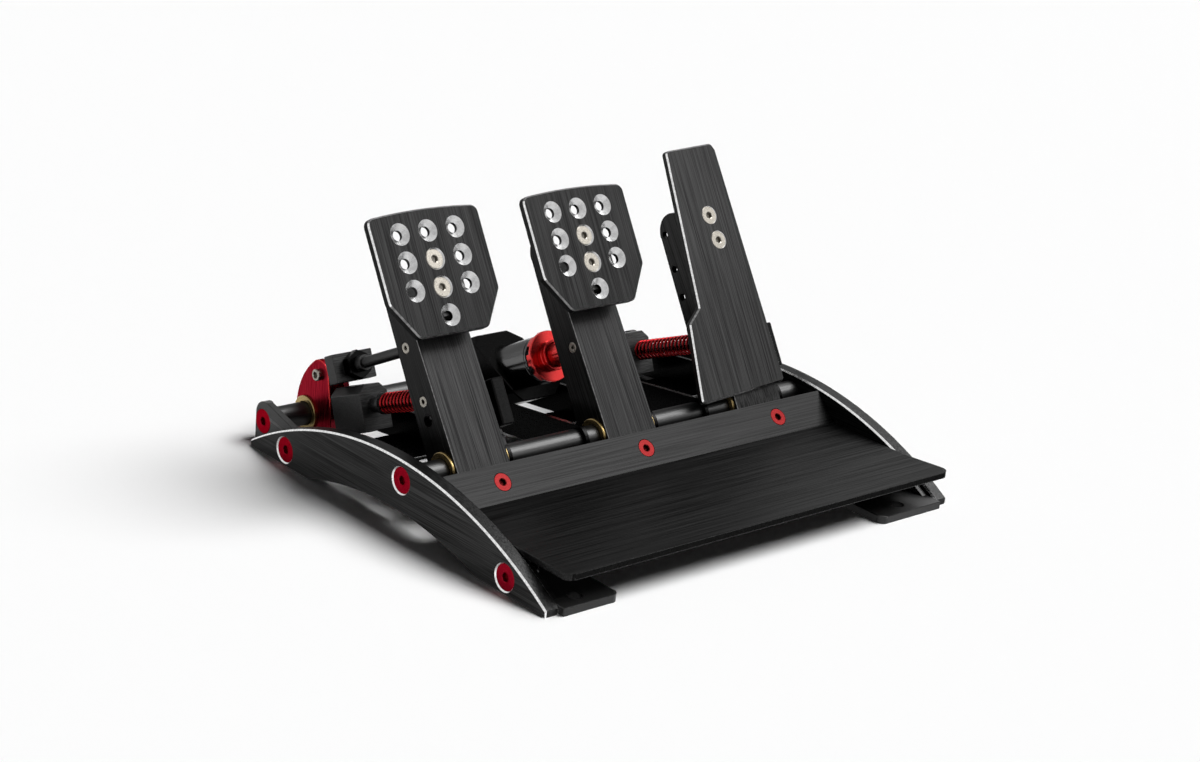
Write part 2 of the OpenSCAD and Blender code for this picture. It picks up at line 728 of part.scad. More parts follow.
// Sheet bracket that joins the axle to the rear shaft and carries the heel plate
// A point in the middle of the bracket's flange, by its distance from the heel plate's bend
function flange_point(along) = [
    heel_bend + along * cos(heel_angle) + (heel_t + sheet_t / 2) * sin(heel_angle),
    heel_z + along * sin(heel_angle) - (heel_t + sheet_t / 2) * cos(heel_angle)
];
module gusset_outline() {
    low = flange_point(flange_from + flange_lap);
    high = flange_point(flange_to - flange_lap);
    union() {
        translate([axle_y, axle_z]) circle(r = ring_r);
        translate([shaft_y, shaft_z]) circle(r = ring_r);
        translate([axle_y, axle_z]) rotate(link_angle) translate([0, -bar_h / 2]) square([link_len, bar_h]);
        polygon([low, high, [axle_y - ring_r + ring_bite, axle_z], [axle_y, axle_z - ring_r + ring_bite]]);
    }
}
// Ear on a bracket's right side that carries a sensor box beside the arm, cut back for the pressed pad
module sensor_ear_outline() {
    half = sensor_ear_w / 2;
    top = sensor_at + sensor_h / 2;
    front = over - arm_d / 2;
    translate([axle_y, axle_z]) rotate(-arm_tilt) polygon([
        [-half, 0], [half, 0], [half, top], [front + top * tan(pad_room), top],
        [-half, (-half - front) / tan(pad_room)]
    ]);
}
module bracket_side(x, sensor) {
    translate([x, 0, 0]) sheet_x(sheet_t) difference() {
        union() {
            gusset_outline();
            if (sensor) sensor_ear_outline();
        }
        translate([axle_y, axle_z]) circle(d = axle_d + 2 * run);
        translate([shaft_y, shaft_z]) circle(d = shaft_d + 2 * run);
    }
}
// The floor and the flange reach from the right side to the left one, or to the lap where there is none
module link_bracket(x, reach, left_side, floor_len, sensor, screw_x) {
    wide = reach + bracket_in / 2 + sheet_t;
    color([0.06, 0.06, 0.06]) union() {
        tip_frame() translate([x, 0, 0]) {
            bracket_side(bracket_in / 2, sensor);
            if (left_side) bracket_side(-reach, false);
        }
        tip_frame() translate([x, axle_y, axle_z]) rotate([link_angle, 0, 0])
            translate([-reach, web_start, -bar_h / 2]) cube([wide, floor_len, sheet_t]);
        heel_frame(0) difference() {
            translate([x - reach, flange_from, -heel_t - sheet_t])
                cube([wide, flange_to - flange_from, sheet_t]);
            translate([screw_x, heel_screw_at, -heel_t - sheet_t - over])
                cylinder(d = m6 + 2 * slack, h = sheet_t + 2 * over);
        }
    }
}
module clutch_bracket() { link_bracket(clutch_x, clutch_lap, false, web_len, true, heel_screw_x[0]); }
module brake_bracket() {
    link_bracket(brake_x, brake_cheek + sheet_t, true, brake_web_len, false, heel_screw_x[1]);
}
module throttle_bracket() {
    link_bracket(throttle_x, throttle_cheek + sheet_t, true, web_len, true, heel_screw_x[2]);
}

// Channel arm, open at the rear, in its own frame; its front wall may slope
module arm_profile(lean) {
    top = arm_len + over;
    low = -arm_d / 2 - over;
    intersection() {
        union() {
            circle(d = arm_d);
            translate([-arm_d / 2, 0]) square([arm_d, arm_len - arm_d / 2]);
            translate([0, arm_len - arm_d / 2]) circle(d = arm_d);
        }
        polygon([[arm_face(low, lean), low], [arm_d, low], [arm_d, top], [arm_face(top, lean), top]]);
    }
}
module channel_arm(lean, pins, holes, back, hole_size) {
    wall_top = arm_len - arm_d / 2;
    difference() {
        union() {
            for (s = [-1, 1]) translate([s * (arm_w - arm_wall) / 2 - arm_wall / 2, 0, 0])
                sheet_x(arm_wall) arm_profile(lean);
            translate([-arm_w / 2, 0, 0]) sheet_x(arm_w) polygon([
                [arm_face(-arm_toe, lean), -arm_toe], [arm_face(-arm_toe, lean) + arm_wall, -arm_toe],
                [arm_face(wall_top, lean) + arm_wall, wall_top], [arm_face(wall_top, lean), wall_top]
            ]);
        }
        bar_x(bush_d + 2 * slack, arm_w + 2 * over);
        for (p = pins) translate([0, p[1], p[0]]) bar_x(pin_d + 2 * slack, arm_w + 2 * over);
        for (h = holes) translate([0, back, h]) bar_x(hole_size, arm_w + 2 * over);
    }
}
module arm_screw_holes(lean, heights, depth) {
    for (h = heights)
        translate([0, -arm_d / 2 - depth, h])
            bar_y(m6 + 2 * slack, depth + arm_face(h, lean) + arm_d / 2 + arm_wall + over);
}
module arm_bushes(x) {
    color([0.72, 0.55, 0.25]) arm_frame(x) for (s = [0, 1]) mirror([s, 0, 0]) difference() {
        union() {
            translate([arm_w / 2, 0, 0]) rotate([0, 90, 0]) cylinder(d = bush_flange_d, h = bush_flange_t);
            translate([arm_w / 2 - arm_wall, 0, 0]) rotate([0, 90, 0])
                cylinder(d = bush_d, h = arm_wall + eps);
        }
        bar_x(axle_d + 2 * run, 2 * arm_w);
    }
}
module cross_pin(along, back) {
    translate([0, back, along]) difference() {
        bar_x(pin_d, arm_w);
        translate([-arm_w / 2, 0, 0]) rotate([0, 90, 0])
            cylinder(d = m6_socket / cos(30), h = 2 * socket_depth, center = true, $fn = 6);
    }
}

// Perforated pad, its front face at y = 0 and its thickness behind it
module pad_outline() {
    half = pad_w / 2;
    foot = pad_foot_w / 2;
    low = pad_top - pad_h;
    crown_r = arc_radius(half, pad_arch);
    offset(r = pad_r, $fn = 32) offset(delta = -pad_r) intersection() {
        polygon([[-half, pad_top], [half, pad_top], [half, low + pad_slant], [foot, low],
            [-foot, low], [-half, low + pad_slant]]);
        translate([0, pad_top - crown_r]) circle(r = crown_r, $fn = 120);
    }
}
module pad() {
    difference() {
        sheet_y(pad_t) pad_outline();
        for (i = [-1, 0, 1], k = [0:2]) translate([i * hole_pitch_x, 0, row_z(k)]) pad_hole();
        translate([0, 0, row_z(3)]) pad_hole();
    }
}
module pad_hole() { rotate([90, 0, 0]) sunk_hole(hole_d, hole_sink_d, pad_t + over); }
module pad_spacer(shift) {
    low = row_z(3);
    top = arm_len - arm_d / 2;
    difference() {
        translate([-spacer_w / 2, 0, 0]) sheet_x(spacer_w) polygon([
            [-pad_back, low], [arm_face(low, arm_taper), low],
            [arm_face(top, arm_taper), top], [-pad_back, top]
        ]);
        translate([shift, 0, 0]) arm_screw_holes(arm_taper, pad_screw_rows, spacer_t + over);
    }
}
module pad_screws(lean, front, heights, xs) {
    for (k = [0:len(heights) - 1])
        translate([xs[k], -front, heights[k]]) rotate([90, 0, 0])
            sunk_screw(m6, m6_head, front + arm_face(heights[k], lean) + arm_wall, m6_socket);
}

// Clutch pedal
module clutch_arm() {
    pins = [[spring_pin_at, spring_pin_back], [rod_pin_at, rod_pin_back]];
    color([0.1, 0.1, 0.11]) arm_frame(clutch_x) difference() {
        channel_arm(arm_taper, pins, [spare_at], spring_pin_back, spare_d);
        translate([clutch_pad_shift, 0, 0]) arm_screw_holes(arm_taper, pad_screw_rows, over);
    }
}
module clutch_pad_spacer() { color([0.08, 0.08, 0.08]) arm_frame(clutch_x) pad_spacer(clutch_pad_shift); }
module clutch_pad() {
    color([0.1, 0.1, 0.11]) arm_frame(clutch_x) translate([clutch_pad_shift, -pad_front, 0]) pad();
}
module clutch_pad_screws() {
    color([0.78, 0.75, 0.68]) arm_frame(clutch_x)
        pad_screws(arm_taper, pad_front - screw_sink, pad_screw_rows, [clutch_pad_shift, clutch_pad_shift]);
}
module clutch_bushes() { arm_bushes(clutch_x); }
module clutch_pins() {
    color([0.78, 0.76, 0.7]) arm_frame(clutch_x) {
        cross_pin(spring_pin_at, spring_pin_back);
        cross_pin(rod_pin_at, rod_pin_back);
    }
}

// Brake pedal
module brake_arm() {
    color([0.1, 0.1, 0.11]) arm_frame(brake_x) difference() {
        channel_arm(arm_taper, [[brake_pin_at, -brake_pin_front]], [], 0, spare_d);
        translate([brake_pad_shift, 0, 0]) arm_screw_holes(arm_taper, pad_screw_rows, over);
        translate([0, -brake_pin_front, brake_pin_at])
            bar_x(piston_eye_d + 2 * eye_pocket, piston_eye_w + 2 * eye_pocket);
    }
}
module brake_pad_spacer() { color([0.08, 0.08, 0.08]) arm_frame(brake_x) pad_spacer(brake_pad_shift); }
module brake_pad() {
    color([0.1, 0.1, 0.11]) arm_frame(brake_x) translate([brake_pad_shift, -pad_front, 0]) pad();
}
module brake_pad_screws() {
    color([0.78, 0.75, 0.68]) arm_frame(brake_x)
        pad_screws(arm_taper, pad_front - screw_sink, pad_screw_rows, [brake_pad_shift, brake_pad_shift]);
}
module brake_bushes() { arm_bushes(brake_x); }
module brake_arm_pin() {
    color([0.78, 0.76, 0.7]) arm_frame(brake_x) cross_pin(brake_pin_at, -brake_pin_front);
}
// Buzzer block between the walls at the back of an arm
module buzzer(x) {
    width = arm_w - 2 * arm_wall;
    color([0.05, 0.05, 0.05]) arm_frame(x)
        translate([-width / 2, arm_d / 2 + buzzer_out - buzzer_d, buzzer_at - buzzer_h / 2])
            cube([width, buzzer_d, buzzer_h]);
}
module brake_buzzer() { buzzer(brake_x); }

// Throttle pedal with its long pad
module throttle_arm() {
    color([0.1, 0.1, 0.11]) arm_frame(throttle_x) difference() {
        channel_arm(
            0, [[spring_pin_at, spring_pin_back]], throttle_holes, throttle_hole_back, throttle_hole_d);
        for (k = [0, 1]) translate([long_screw_x[k], 0, 0]) arm_screw_holes(0, [long_screw_z[k]], over);
    }
}
// Outline of the long pad: a slim top, a step on the left and a wide foot
module long_pad_outline() {
    offset(r = long_pad_r, $fn = 32) offset(delta = -long_pad_r) polygon([
        [long_pad_left[0], long_pad_top - long_pad_top_rise / 2],
        [long_pad_right[0], long_pad_top + long_pad_top_rise / 2],
        [long_pad_right[1], long_pad_top - long_pad_shoulder],
        [long_pad_right[2], long_pad_foot + long_pad_foot_rise / 2],
        [long_pad_left[3], long_pad_foot - long_pad_foot_rise / 2],
        [long_pad_left[2], long_pad_step[1]],
        [long_pad_left[1], long_pad_step[0]]
    ]);
}
module throttle_pad() {
    color([0.1, 0.1, 0.11]) arm_frame(throttle_x) translate([0, -arm_d / 2 - long_pad_t, 0]) difference() {
        sheet_y(long_pad_t) long_pad_outline();
        for (k = [0, 1]) translate([long_screw_x[k], 0, long_screw_z[k]]) rotate([90, 0, 0])
            sunk_hole(m6 + 2 * slack, m6_head + 2 * slack, long_pad_t + over);
    }
}
module throttle_pad_screws() {
    color([0.78, 0.75, 0.68]) arm_frame(throttle_x)
        pad_screws(0, arm_d / 2 + long_pad_t - slack, long_screw_z, long_screw_x);
}
module throttle_bushes() { arm_bushes(throttle_x); }
module throttle_arm_pin() {
    color([0.78, 0.76, 0.7]) arm_frame(throttle_x) cross_pin(spring_pin_at, spring_pin_back);
}
module throttle_buzzer() { buzzer(throttle_x); }

// Clutch levers: a round top, a boss round the rear shaft, a toe in front and a bulged rear edge
function on_circle(c, r, a) = c + r * [cos(a), sin(a)];
function arc_points(c, r, a0, a1, skip = 0) = [
    for (i = [skip:lever_arc_steps - skip]) on_circle(c, r, a0 + (a1 - a0) * i / lever_arc_steps)
];
module lever_outline() {
    top = [-lever_pin_front, lever_pin_up];
    chord_a = on_circle(top, lever_top_r, lever_back_from);
    chord_b = on_circle([0, 0], lever_boss_r, lever_back_to);
    chord = chord_b - chord_a;
    r = arc_radius(norm(chord) / 2, lever_bulge);
    out = [-chord[1], chord[0]] / norm(chord);
    centre = (chord_a + chord_b) / 2 + (lever_bulge - r) * out;
    a0 = atan2(chord_a[1] - centre[1], chord_a[0] - centre[0]);
    a1 = atan2(chord_b[1] - centre[1], chord_b[0] - centre[0]);
    polygon(concat(
        arc_points(top, lever_top_r, lever_front_at, lever_back_from),
        arc_points(centre, r, a0, a1, 1),
        arc_points([0, 0], lever_boss_r, lever_back_to, lever_foot_at),
        [[-lever_toe + lever_toe_cut, lever_toe_z[0]], [-lever_toe, lever_toe_z[1]],
            [-lever_toe, lever_toe_z[2]]]
    ));
}
module lever() {
    sheet_x(lever_t) difference() {
        lever_outline();
        circle(d = bush_d + 2 * slack);
        translate([-lever_pin_front, lever_pin_up]) circle(d = lever_pin_d + 2 * slack);
    }
}
module clutch_lever_left() {
    color([0.7, 0.05, 0.1]) tip_frame() translate([clutch_x - lever_out, shaft_y, shaft_z]) lever();
}
module clutch_lever_right() {
    color([0.7, 0.05, 0.1]) tip_frame() translate([clutch_x + lever_gap / 2, shaft_y, shaft_z]) lever();
}
module clutch_lever_bushes() {
    color([0.72, 0.55, 0.25]) tip_frame() translate([clutch_x, shaft_y, shaft_z])
        for (s = [0, 1]) mirror([s, 0, 0]) difference() {
            union() {
                translate([lever_out, 0, 0]) rotate([0, 90, 0])
                    cylinder(d = bush_flange_d, h = bush_flange_t);
                translate([lever_gap / 2, 0, 0]) rotate([0, 90, 0]) cylinder(d = bush_d, h = lever_t + eps);
            }
            bar_x(shaft_d + 2 * run, 4 * lever_out);
        }
}
module clutch_lever_pin() {
    color([0.78, 0.76, 0.7]) tip_frame() translate([clutch_x, lever_pin[0], lever_pin[1]]) {
        difference() {
            union() {
                bar_x(lever_pin_d, 2 * lever_out);
                for (s = [-1, 1]) translate([s * (lever_out + lever_head_t / 2), 0, 0])
                    bar_x(lever_head_d, lever_head_t);
            }
            translate([-lever_out - lever_head_t, 0, 0]) rotate([0, 90, 0])
                cylinder(d = m6_socket / cos(30), h = 2 * lever_socket_depth, center = true, $fn = 6);
        }
    }
}

// Clutch push rod with its eye, lock nut and the trunnion between the levers
module clutch_push_rod() {
    color([0.08, 0.08, 0.08]) strut_frame(clutch_x, rod_pin, rod_angle) difference() {
        union() {
            bar_x(eye_d, eye_w);
            bar_y(rod_d, trunnion_at + trunnion_t - rod_end_gap);
            translate([0, trunnion_at - nut_t - rod_collar_t, 0]) bar_y(rod_collar_d, rod_collar_t);
        }
        bar_x(pin_d + 2 * run, 2 * eye_w);
    }
}
module clutch_rod_nut() {
    color([0.06, 0.06, 0.06]) strut_frame(clutch_x, rod_pin, rod_angle)
        translate([0, trunnion_at - nut_t, 0]) rotate([-90, 0, 0]) difference() {
            cylinder(d = nut_af / cos(30), h = nut_t, $fn = 6);
            translate([0, 0, -over]) cylinder(d = rod_d + 2 * slack, h = nut_t + 2 * over);
        }
}
module clutch_trunnion() {
    tongue_t = lever_gap - 2 * tongue_side_gap;
    color([0.08, 0.08, 0.08]) strut_frame(clutch_x, rod_pin, rod_angle) difference() {
        union() {
            translate([-trunnion_w / 2, trunnion_at, -trunnion_h / 2])
                cube([trunnion_w, trunnion_t, trunnion_h]);
            translate([-tongue_t / 2, trunnion_at, -tongue_r])
                cube([tongue_t, rod_reach - trunnion_at, 2 * tongue_r]);
            translate([0, rod_reach, 0]) bar_x(2 * tongue_r, tongue_t);
        }
        bar_y(rod_d + 2 * slack, trunnion_at + trunnion_t - rod_bore_wall);
        translate([0, rod_reach, 0]) bar_x(lever_pin_d + 2 * tongue_play, 2 * lever_gap);
    }
}

// Spring strut: a block on the rear shaft, a guide rod on the arm's pin and the spring between them
module spring_block(front) {
    half = block_w / 2;
    difference() {
        union() {
            translate([0, front, 0]) sheet_y(block_end - front) polygon([
                [-half, -block_down], [-half, block_up - block_bevel], [-half + block_bevel, block_up],
                [half - block_bevel, block_up], [half, block_up - block_bevel], [half, -block_down]
            ]);
            translate([-tail_t / 2, block_end - eps, tail_waist - tail_r])
                cube([tail_t, spring_reach - block_end, 2 * (tail_r - tail_waist)]);
            translate([0, spring_reach, 0]) bar_x(2 * tail_r, tail_t);
        }
        translate([0, front - over, 0]) bar_y(guide_d + 2 * guide_play, block_end - front - bore_wall + over);
        translate([0, spring_reach, 0]) bar_x(shaft_d + 2 * run, 2 * tail_t);
    }
}
module guide_rod() {
    difference() {
        union() {
            bar_x(eye_d, eye_w);
            bar_y(guide_d, guide_len);
            translate([0, collar_at, 0]) bar_y(spring_d, collar_t);
        }
        bar_x(pin_d + 2 * run, 2 * eye_w);
    }
}
module clutch_spring_block() {
    color([0.09, 0.09, 0.09]) strut_frame(clutch_x, spring_pin, spring_angle) union() {
        spring_block(clutch_block_at);
        difference() {
            union() {
                translate([0, clutch_seat + seat_t, 0])
                    bar_y(neck_d, clutch_block_at - clutch_seat - seat_t + eps);
                translate([0, clutch_seat, 0]) bar_y(spring_d, seat_t);
            }
            translate([0, clutch_seat - over, 0])
                bar_y(guide_d + 2 * guide_play, clutch_block_at - clutch_seat + 2 * over);
        }
    }
}
module clutch_guide_rod() {
    color([0.5, 0.5, 0.5]) strut_frame(clutch_x, spring_pin, spring_angle) guide_rod();
}
module throttle_spring_block() {
    color([0.09, 0.09, 0.09]) strut_frame(throttle_x, spring_pin, spring_angle)
        spring_block(throttle_block_at);
}
module throttle_guide_rod() {
    color([0.5, 0.5, 0.5]) strut_frame(throttle_x, spring_pin, spring_angle) guide_rod();
}

// A coil spring along Y from one seat to the other, with straight ends one wire long
function coil_path(from, to, curls) =
    let (
        r = (spring_d - wire_d) / 2,
        y0 = from + spring_seat_gap + wire_d / 2,
        y1 = to - spring_seat_gap - wire_d / 2,
        n = curls * rings_per_curl,
        turn = [
            for (i = [0:n]) let (a = 360 * i / rings_per_curl)
                [r * cos(a), y0 + (y1 - y0) * i / n, r * sin(a)]
        ]
    ) concat(
        [turn[0] - [0, 0, wire_d]],
        turn,
        [turn[n] + [0, 0, wire_d]]
    );
function unit(v) = v / norm(v);
// Rings of points round the path: one side vector points away from the coil's axis
function coil_points(path) = [
    for (i = [0:len(path) - 1]) let (
        along = unit(path[min(i + 1, len(path) - 1)] - path[max(i - 1, 0)]),
        away = unit([path[i][0], 0, path[i][2]]),
        side = unit(cross(along, away)),
        up = cross(side, along)
    ) for (k = [0:wire_sides - 1]) let (a = 360 * k / wire_sides)
        path[i] + wire_d / 2 * (cos(a) * up + sin(a) * side)
];
function coil_faces(rings) = concat(
    [for (k = [1:wire_sides - 2]) [0, k, k + 1]],
    [for (i = [0:rings - 2], k = [0:wire_sides - 1]) let (
        a = i * wire_sides + k,
        b = i * wire_sides + (k + 1) % wire_sides
    ) each [[a, a + wire_sides, b], [b, a + wire_sides, b + wire_sides]]],
    [for (k = [1:wire_sides - 2]) let (last = (rings - 1) * wire_sides) [last, last + k + 1, last + k]]
);
// Least gap between wire stretches that are more than half a turn apart
function coil_gap(path) = min([
    for (i = [0:len(path) - 1], j = [i + rings_per_curl / 2 + 2:1:len(path) - 1]) norm(path[i] - path[j])
]) - wire_d;
module coil(from, to, curls) {
    path = coil_path(from, to, curls);
    echo(least_coil_gap = coil_gap(path));
    polyhedron(points = coil_points(path), faces = coil_faces(len(path)));
}
module clutch_spring() {
    color([0.8, 0.1, 0.12]) strut_frame(clutch_x, spring_pin, spring_angle)
        coil(collar_end, clutch_seat, clutch_curls);
}
module throttle_spring() {
    color([0.8, 0.1, 0.12]) strut_frame(throttle_x, spring_pin, spring_angle)
        coil(collar_end, throttle_block_at, throttle_curls);
}

// Sensor boxes on the brackets' ears
module sensor_box(x) {
    color([0.05, 0.05, 0.05]) arm_frame(x)
        translate([bracket_in / 2 + sheet_t, -sensor_d / 2, sensor_at - sensor_h / 2])
            cube([sensor_w, sensor_d, sensor_h]);
}
module sensor_screws(x) {
    color([0.8, 0.76, 0.68]) arm_frame(x) for (s = [-1, 1])
        translate([bracket_in / 2 + sheet_t + sensor_w + sensor_screw_t / 2, 0, sensor_at + s * sensor_h / 3])
            bar_x(sensor_screw_d, sensor_screw_t);
}
module clutch_sensor() { sensor_box(clutch_x); }
module clutch_sensor_screws() { sensor_screws(clutch_x); }
module throttle_sensor() { sensor_box(throttle_x); }
module throttle_sensor_screws() { sensor_screws(throttle_x); }

// Brake strut: a housing on the rear shaft, a cylinder with rubber rings, an adjuster and the arm's piston
module brake_frame() { strut_frame(brake_x, brake_pin, brake_angle) children(); }
module housing_section() {
    half = housing_w / 2;
    b = housing_bevel;
    polygon([
        [-half, -housing_down + b], [-half, housing_up - b], [-half + b, housing_up], [half - b, housing_up],
        [half, housing_up - b], [half, -housing_down + b], [half - b, -housing_down],
        [-half + b, -housing_down]
    ]);
}
module brake_housing() {
    ear_out = ear_from + ear_t / 2;
    bore_len = cyl_end - housing_at + cyl_gap;
    color([0.05, 0.05, 0.05]) brake_frame() difference() {
        union() {
            translate([0, housing_at, 0]) sheet_y(housing_end - housing_at) housing_section();
            for (s = [-1, 1]) translate([s * ear_out, 0, 0]) {
                translate([-ear_t / 2, housing_end - eps, -ear_r])
                    cube([ear_t, brake_reach - housing_end, 2 * ear_r]);
                translate([0, brake_reach, 0]) bar_x(2 * ear_r, ear_t);
            }
        }
        translate([0, housing_at - over, 0]) bar_y(cyl_d + 2 * slack, bore_len + over);
        translate([0, cyl_end, 0]) bar_y(cell_d + 2 * slack, cell_seat);
        translate([-housing_w, 0, 0]) sheet_x(2 * housing_w) polygon([
            [housing_at - over, housing_low], [housing_at, housing_low], [housing_top_at, housing_up],
            [housing_top_at, housing_up + over], [housing_at - over, housing_up + over]
        ]);
        translate([0, brake_reach, 0]) bar_x(shaft_d + 2 * run, 2 * housing_w);
    }
}
module brake_cylinder() {
    color([0.12, 0.12, 0.12]) brake_frame() translate([0, cyl_at, 0]) difference() {
        bar_y(cyl_d, cyl_end - cyl_at);
        translate([0, -over, 0]) bar_y(cyl_in, cyl_end - cyl_at + 2 * over);
    }
}
module brake_load_cell() {
    color([0.6, 0.6, 0.62]) brake_frame() translate([0, cell_at, 0]) bar_y(cell_d, cell_t);
}
module brake_rubbers() {
    color([0.15, 0.15, 0.18]) brake_frame() for (k = [0:rubbers - 1])
        translate([0, rubber_from + k * rubber_t, 0]) difference() {
            bar_y(piston_head_d - 2 * rubber_side_gap, rubber_t - rubber_gap);
            translate([0, -over, 0]) bar_y(rubber_bore, rubber_t + 2 * over);
        }
}
module brake_adjuster() {
    color([0.78, 0.06, 0.08]) brake_frame() difference() {
        union() {
            translate([0, hub_at, 0]) bar_y(hub_d, hub_len + eps);
            translate([0, hub_at + hub_len, 0]) bar_y(ring_d, ring_w - run);
        }
        translate([0, hub_at - over, 0]) bar_y(piston_d + 2 * piston_play, hub_len + ring_w + 2 * over);
        for (k = [0:notches - 1])
            translate([0, cyl_at - notch_len, 0]) rotate([0, 360 * (k + 0.5) / notches, 0])
                translate([ring_d / 2 - notch_d, 0, -notch_w / 2])
                    cube([2 * notch_d, notch_len + over, notch_w]);
    }
}
module brake_piston() {
    color([0.78, 0.06, 0.08]) brake_frame() difference() {
        union() {
            bar_x(piston_eye_d, piston_eye_w);
            bar_y(piston_d, head_at + eps);
            translate([0, head_at, 0]) bar_y(piston_head_d, head_t);
        }
        bar_x(pin_d + 2 * run, 2 * eye_w);
    }
}

left_side_plate();
right_side_plate();
front_left_foot();
front_right_foot();
rear_left_foot();
rear_right_foot();
heel_plate();
pedal_axle();
rear_shaft();
side_plate_screws();
foot_clinch_nuts();
rear_shaft_screws();
heel_plate_screws();
clutch_bracket();
brake_bracket();
throttle_bracket();
clutch_arm();
clutch_pad_spacer();
clutch_pad();
clutch_pad_screws();
clutch_bushes();
clutch_pins();
brake_arm();
brake_pad_spacer();
brake_pad();
brake_pad_screws();
brake_bushes();
brake_arm_pin();
brake_buzzer();
throttle_arm();
throttle_pad();
throttle_pad_screws();
throttle_bushes();
throttle_arm_pin();
throttle_buzzer();
clutch_lever_left();
clutch_lever_right();
clutch_lever_bushes();
clutch_lever_pin();
clutch_push_rod();
clutch_rod_nut();
clutch_trunnion();
clutch_spring_block();
clutch_guide_rod();
clutch_spring();
clutch_sensor();
clutch_sensor_screws();
brake_housing();
brake_cylinder();
brake_load_cell();
brake_rubbers();
brake_adjuster();
brake_piston();
throttle_spring_block();
throttle_guide_rod();
throttle_spring();
throttle_sensor();
throttle_sensor_screws();
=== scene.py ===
# Three-pedal foot controller: brushed black arms and pads on an open frame,
# with red springs, levers and screws
import json
import math

import bmesh
import bpy
from mathutils import Matrix, Vector


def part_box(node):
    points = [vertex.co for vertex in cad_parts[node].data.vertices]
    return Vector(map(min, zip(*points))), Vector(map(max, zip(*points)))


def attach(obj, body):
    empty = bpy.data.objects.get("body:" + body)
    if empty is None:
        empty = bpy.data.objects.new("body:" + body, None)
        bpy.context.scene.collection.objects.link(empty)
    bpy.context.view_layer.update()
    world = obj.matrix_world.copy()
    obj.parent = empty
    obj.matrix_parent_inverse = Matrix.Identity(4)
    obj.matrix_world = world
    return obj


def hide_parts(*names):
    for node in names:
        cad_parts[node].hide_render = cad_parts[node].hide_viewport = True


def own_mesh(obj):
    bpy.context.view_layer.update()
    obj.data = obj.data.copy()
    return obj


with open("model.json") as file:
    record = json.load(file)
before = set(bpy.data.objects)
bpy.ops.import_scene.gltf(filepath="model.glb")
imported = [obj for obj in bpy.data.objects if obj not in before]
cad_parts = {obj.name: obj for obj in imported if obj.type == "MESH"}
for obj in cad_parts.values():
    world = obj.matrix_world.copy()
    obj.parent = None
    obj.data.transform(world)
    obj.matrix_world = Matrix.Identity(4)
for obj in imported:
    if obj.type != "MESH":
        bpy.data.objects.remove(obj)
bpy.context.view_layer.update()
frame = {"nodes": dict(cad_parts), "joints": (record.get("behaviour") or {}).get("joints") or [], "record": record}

# The part's sizes are in millimetres, and MM turns them into metres.
# Grain, floor, lamps and camera are in metres
MM = 0.001
PIVOT = {joint["name"]: Vector(joint["pos_m"]) for joint in frame["joints"]}
BODY = {node: body for body, nodes in frame["record"]["behaviour"]["bodies"].items() for node in nodes}
PEDALS = ("clutch", "brake", "throttle")
ARM_TILT = math.radians(32.1)
HEEL_ANGLE = math.radians(44.5)

# Side plates
INNER_W = 312
PLATE_T = 10
PLATE_LEN = 283
PLATE_PEAK = 44.3
PLATE_TIP = 4
PLATE_FOOT = 60.6
ARCH_H = 12.9
PLATE_BEVEL = 1
SMALL_BEVEL = 0.4
AXLE_Y = 132.7
AXLE_Z = 31.8
END_SCREW_INSET = 36
END_SCREW_Z = 9.7
RIM_D = 17.2
PLATE_SCREWS = (
    (END_SCREW_INSET, END_SCREW_Z), (AXLE_Y, AXLE_Z), (PLATE_LEN - END_SCREW_INSET, END_SCREW_Z))
ARCH_STEPS = 24
CROWN_STEPS = 48

# Screws
M8 = 8
M8_HEAD = 16
M8_SOCKET = 5
M6 = 6
M6_HEAD = 12
M6_SOCKET = 4
SHANK_CUT = 0.5
HEAD_CUT = 0.35
SHAFT_SCREW_HEAD = 15.8
SHAFT_SCREW_LEN = 20
HEEL_SCREW_HEAD = 11.8
LONG_SCREW_LEN = 8.4

# Pads, arms, heel plate and sheets
PAD_T = 5
PAD_W = 81.4
PAD_TOP = 151
PAD_H = 76
PAD_ARCH = 1.6
PAD_ARCH_STEPS = 12
PAD_FOOT_W = 51
PAD_SLANT = 22.5
PAD_R = 5
PAD_FRONT = 24.65
PAD_CHAMFER = 0.9
PAD_SHIFT = {"clutch": -3.1, "brake": -4.1}
HOLE_PITCH_X = 20.3
HOLE_PITCH_Z = 17.1
HOLE_TOP = 13.5
HOLE_D = 6.4
HOLE_SINK_D = 13.5
HOLE_SINK_H = 2.7
ARM_D = 26
ARM_W = 39
ARM_WALL = 4
ARM_TOE = 9
ARM_TAPER = math.radians(3.4)
LONG_PAD_T = 4.5
LONG_PAD_CORNERS = (
    (-23.1, 167.25), (-32.1, 63.5), (-43.6, 54.6), (-51.6, 2.65), (23.9, 6.95), (20.4, 164), (17.9, 168.75))
LONG_PAD_R = 3
LONG_SCREWS = ((-1.3, 121.8), (0.9, 105))
HEEL_BEND = 91.7
HEEL_Z = 24.6
HEEL_T = 4
HEEL_SCREW_AT = 12.25
HEEL_SCREW_SHIFT = {"clutch": -1.5, "brake": -5.7, "throttle": -1.7}
SHEET_T = 2.5
FOOT_T = 5
CLINCH_T = 5.5

# Fits, and limits that tell one kind of edge or face from another
SLACK = 0.1
CLEARANCE = 0.05
NEAR = 0.01
STEEP = 0.9
SLANTED = 0.5
STRAIGHT = 0.02
SIDE_REACH = 0.5
FLAT_AREA = 12
WELD = 0.001
FLAT_ANGLE = math.radians(0.4)
CUT_ANGLE = math.radians(35)
SHARP_ANGLE = math.radians(22)
COIL_SHARP = math.radians(40)

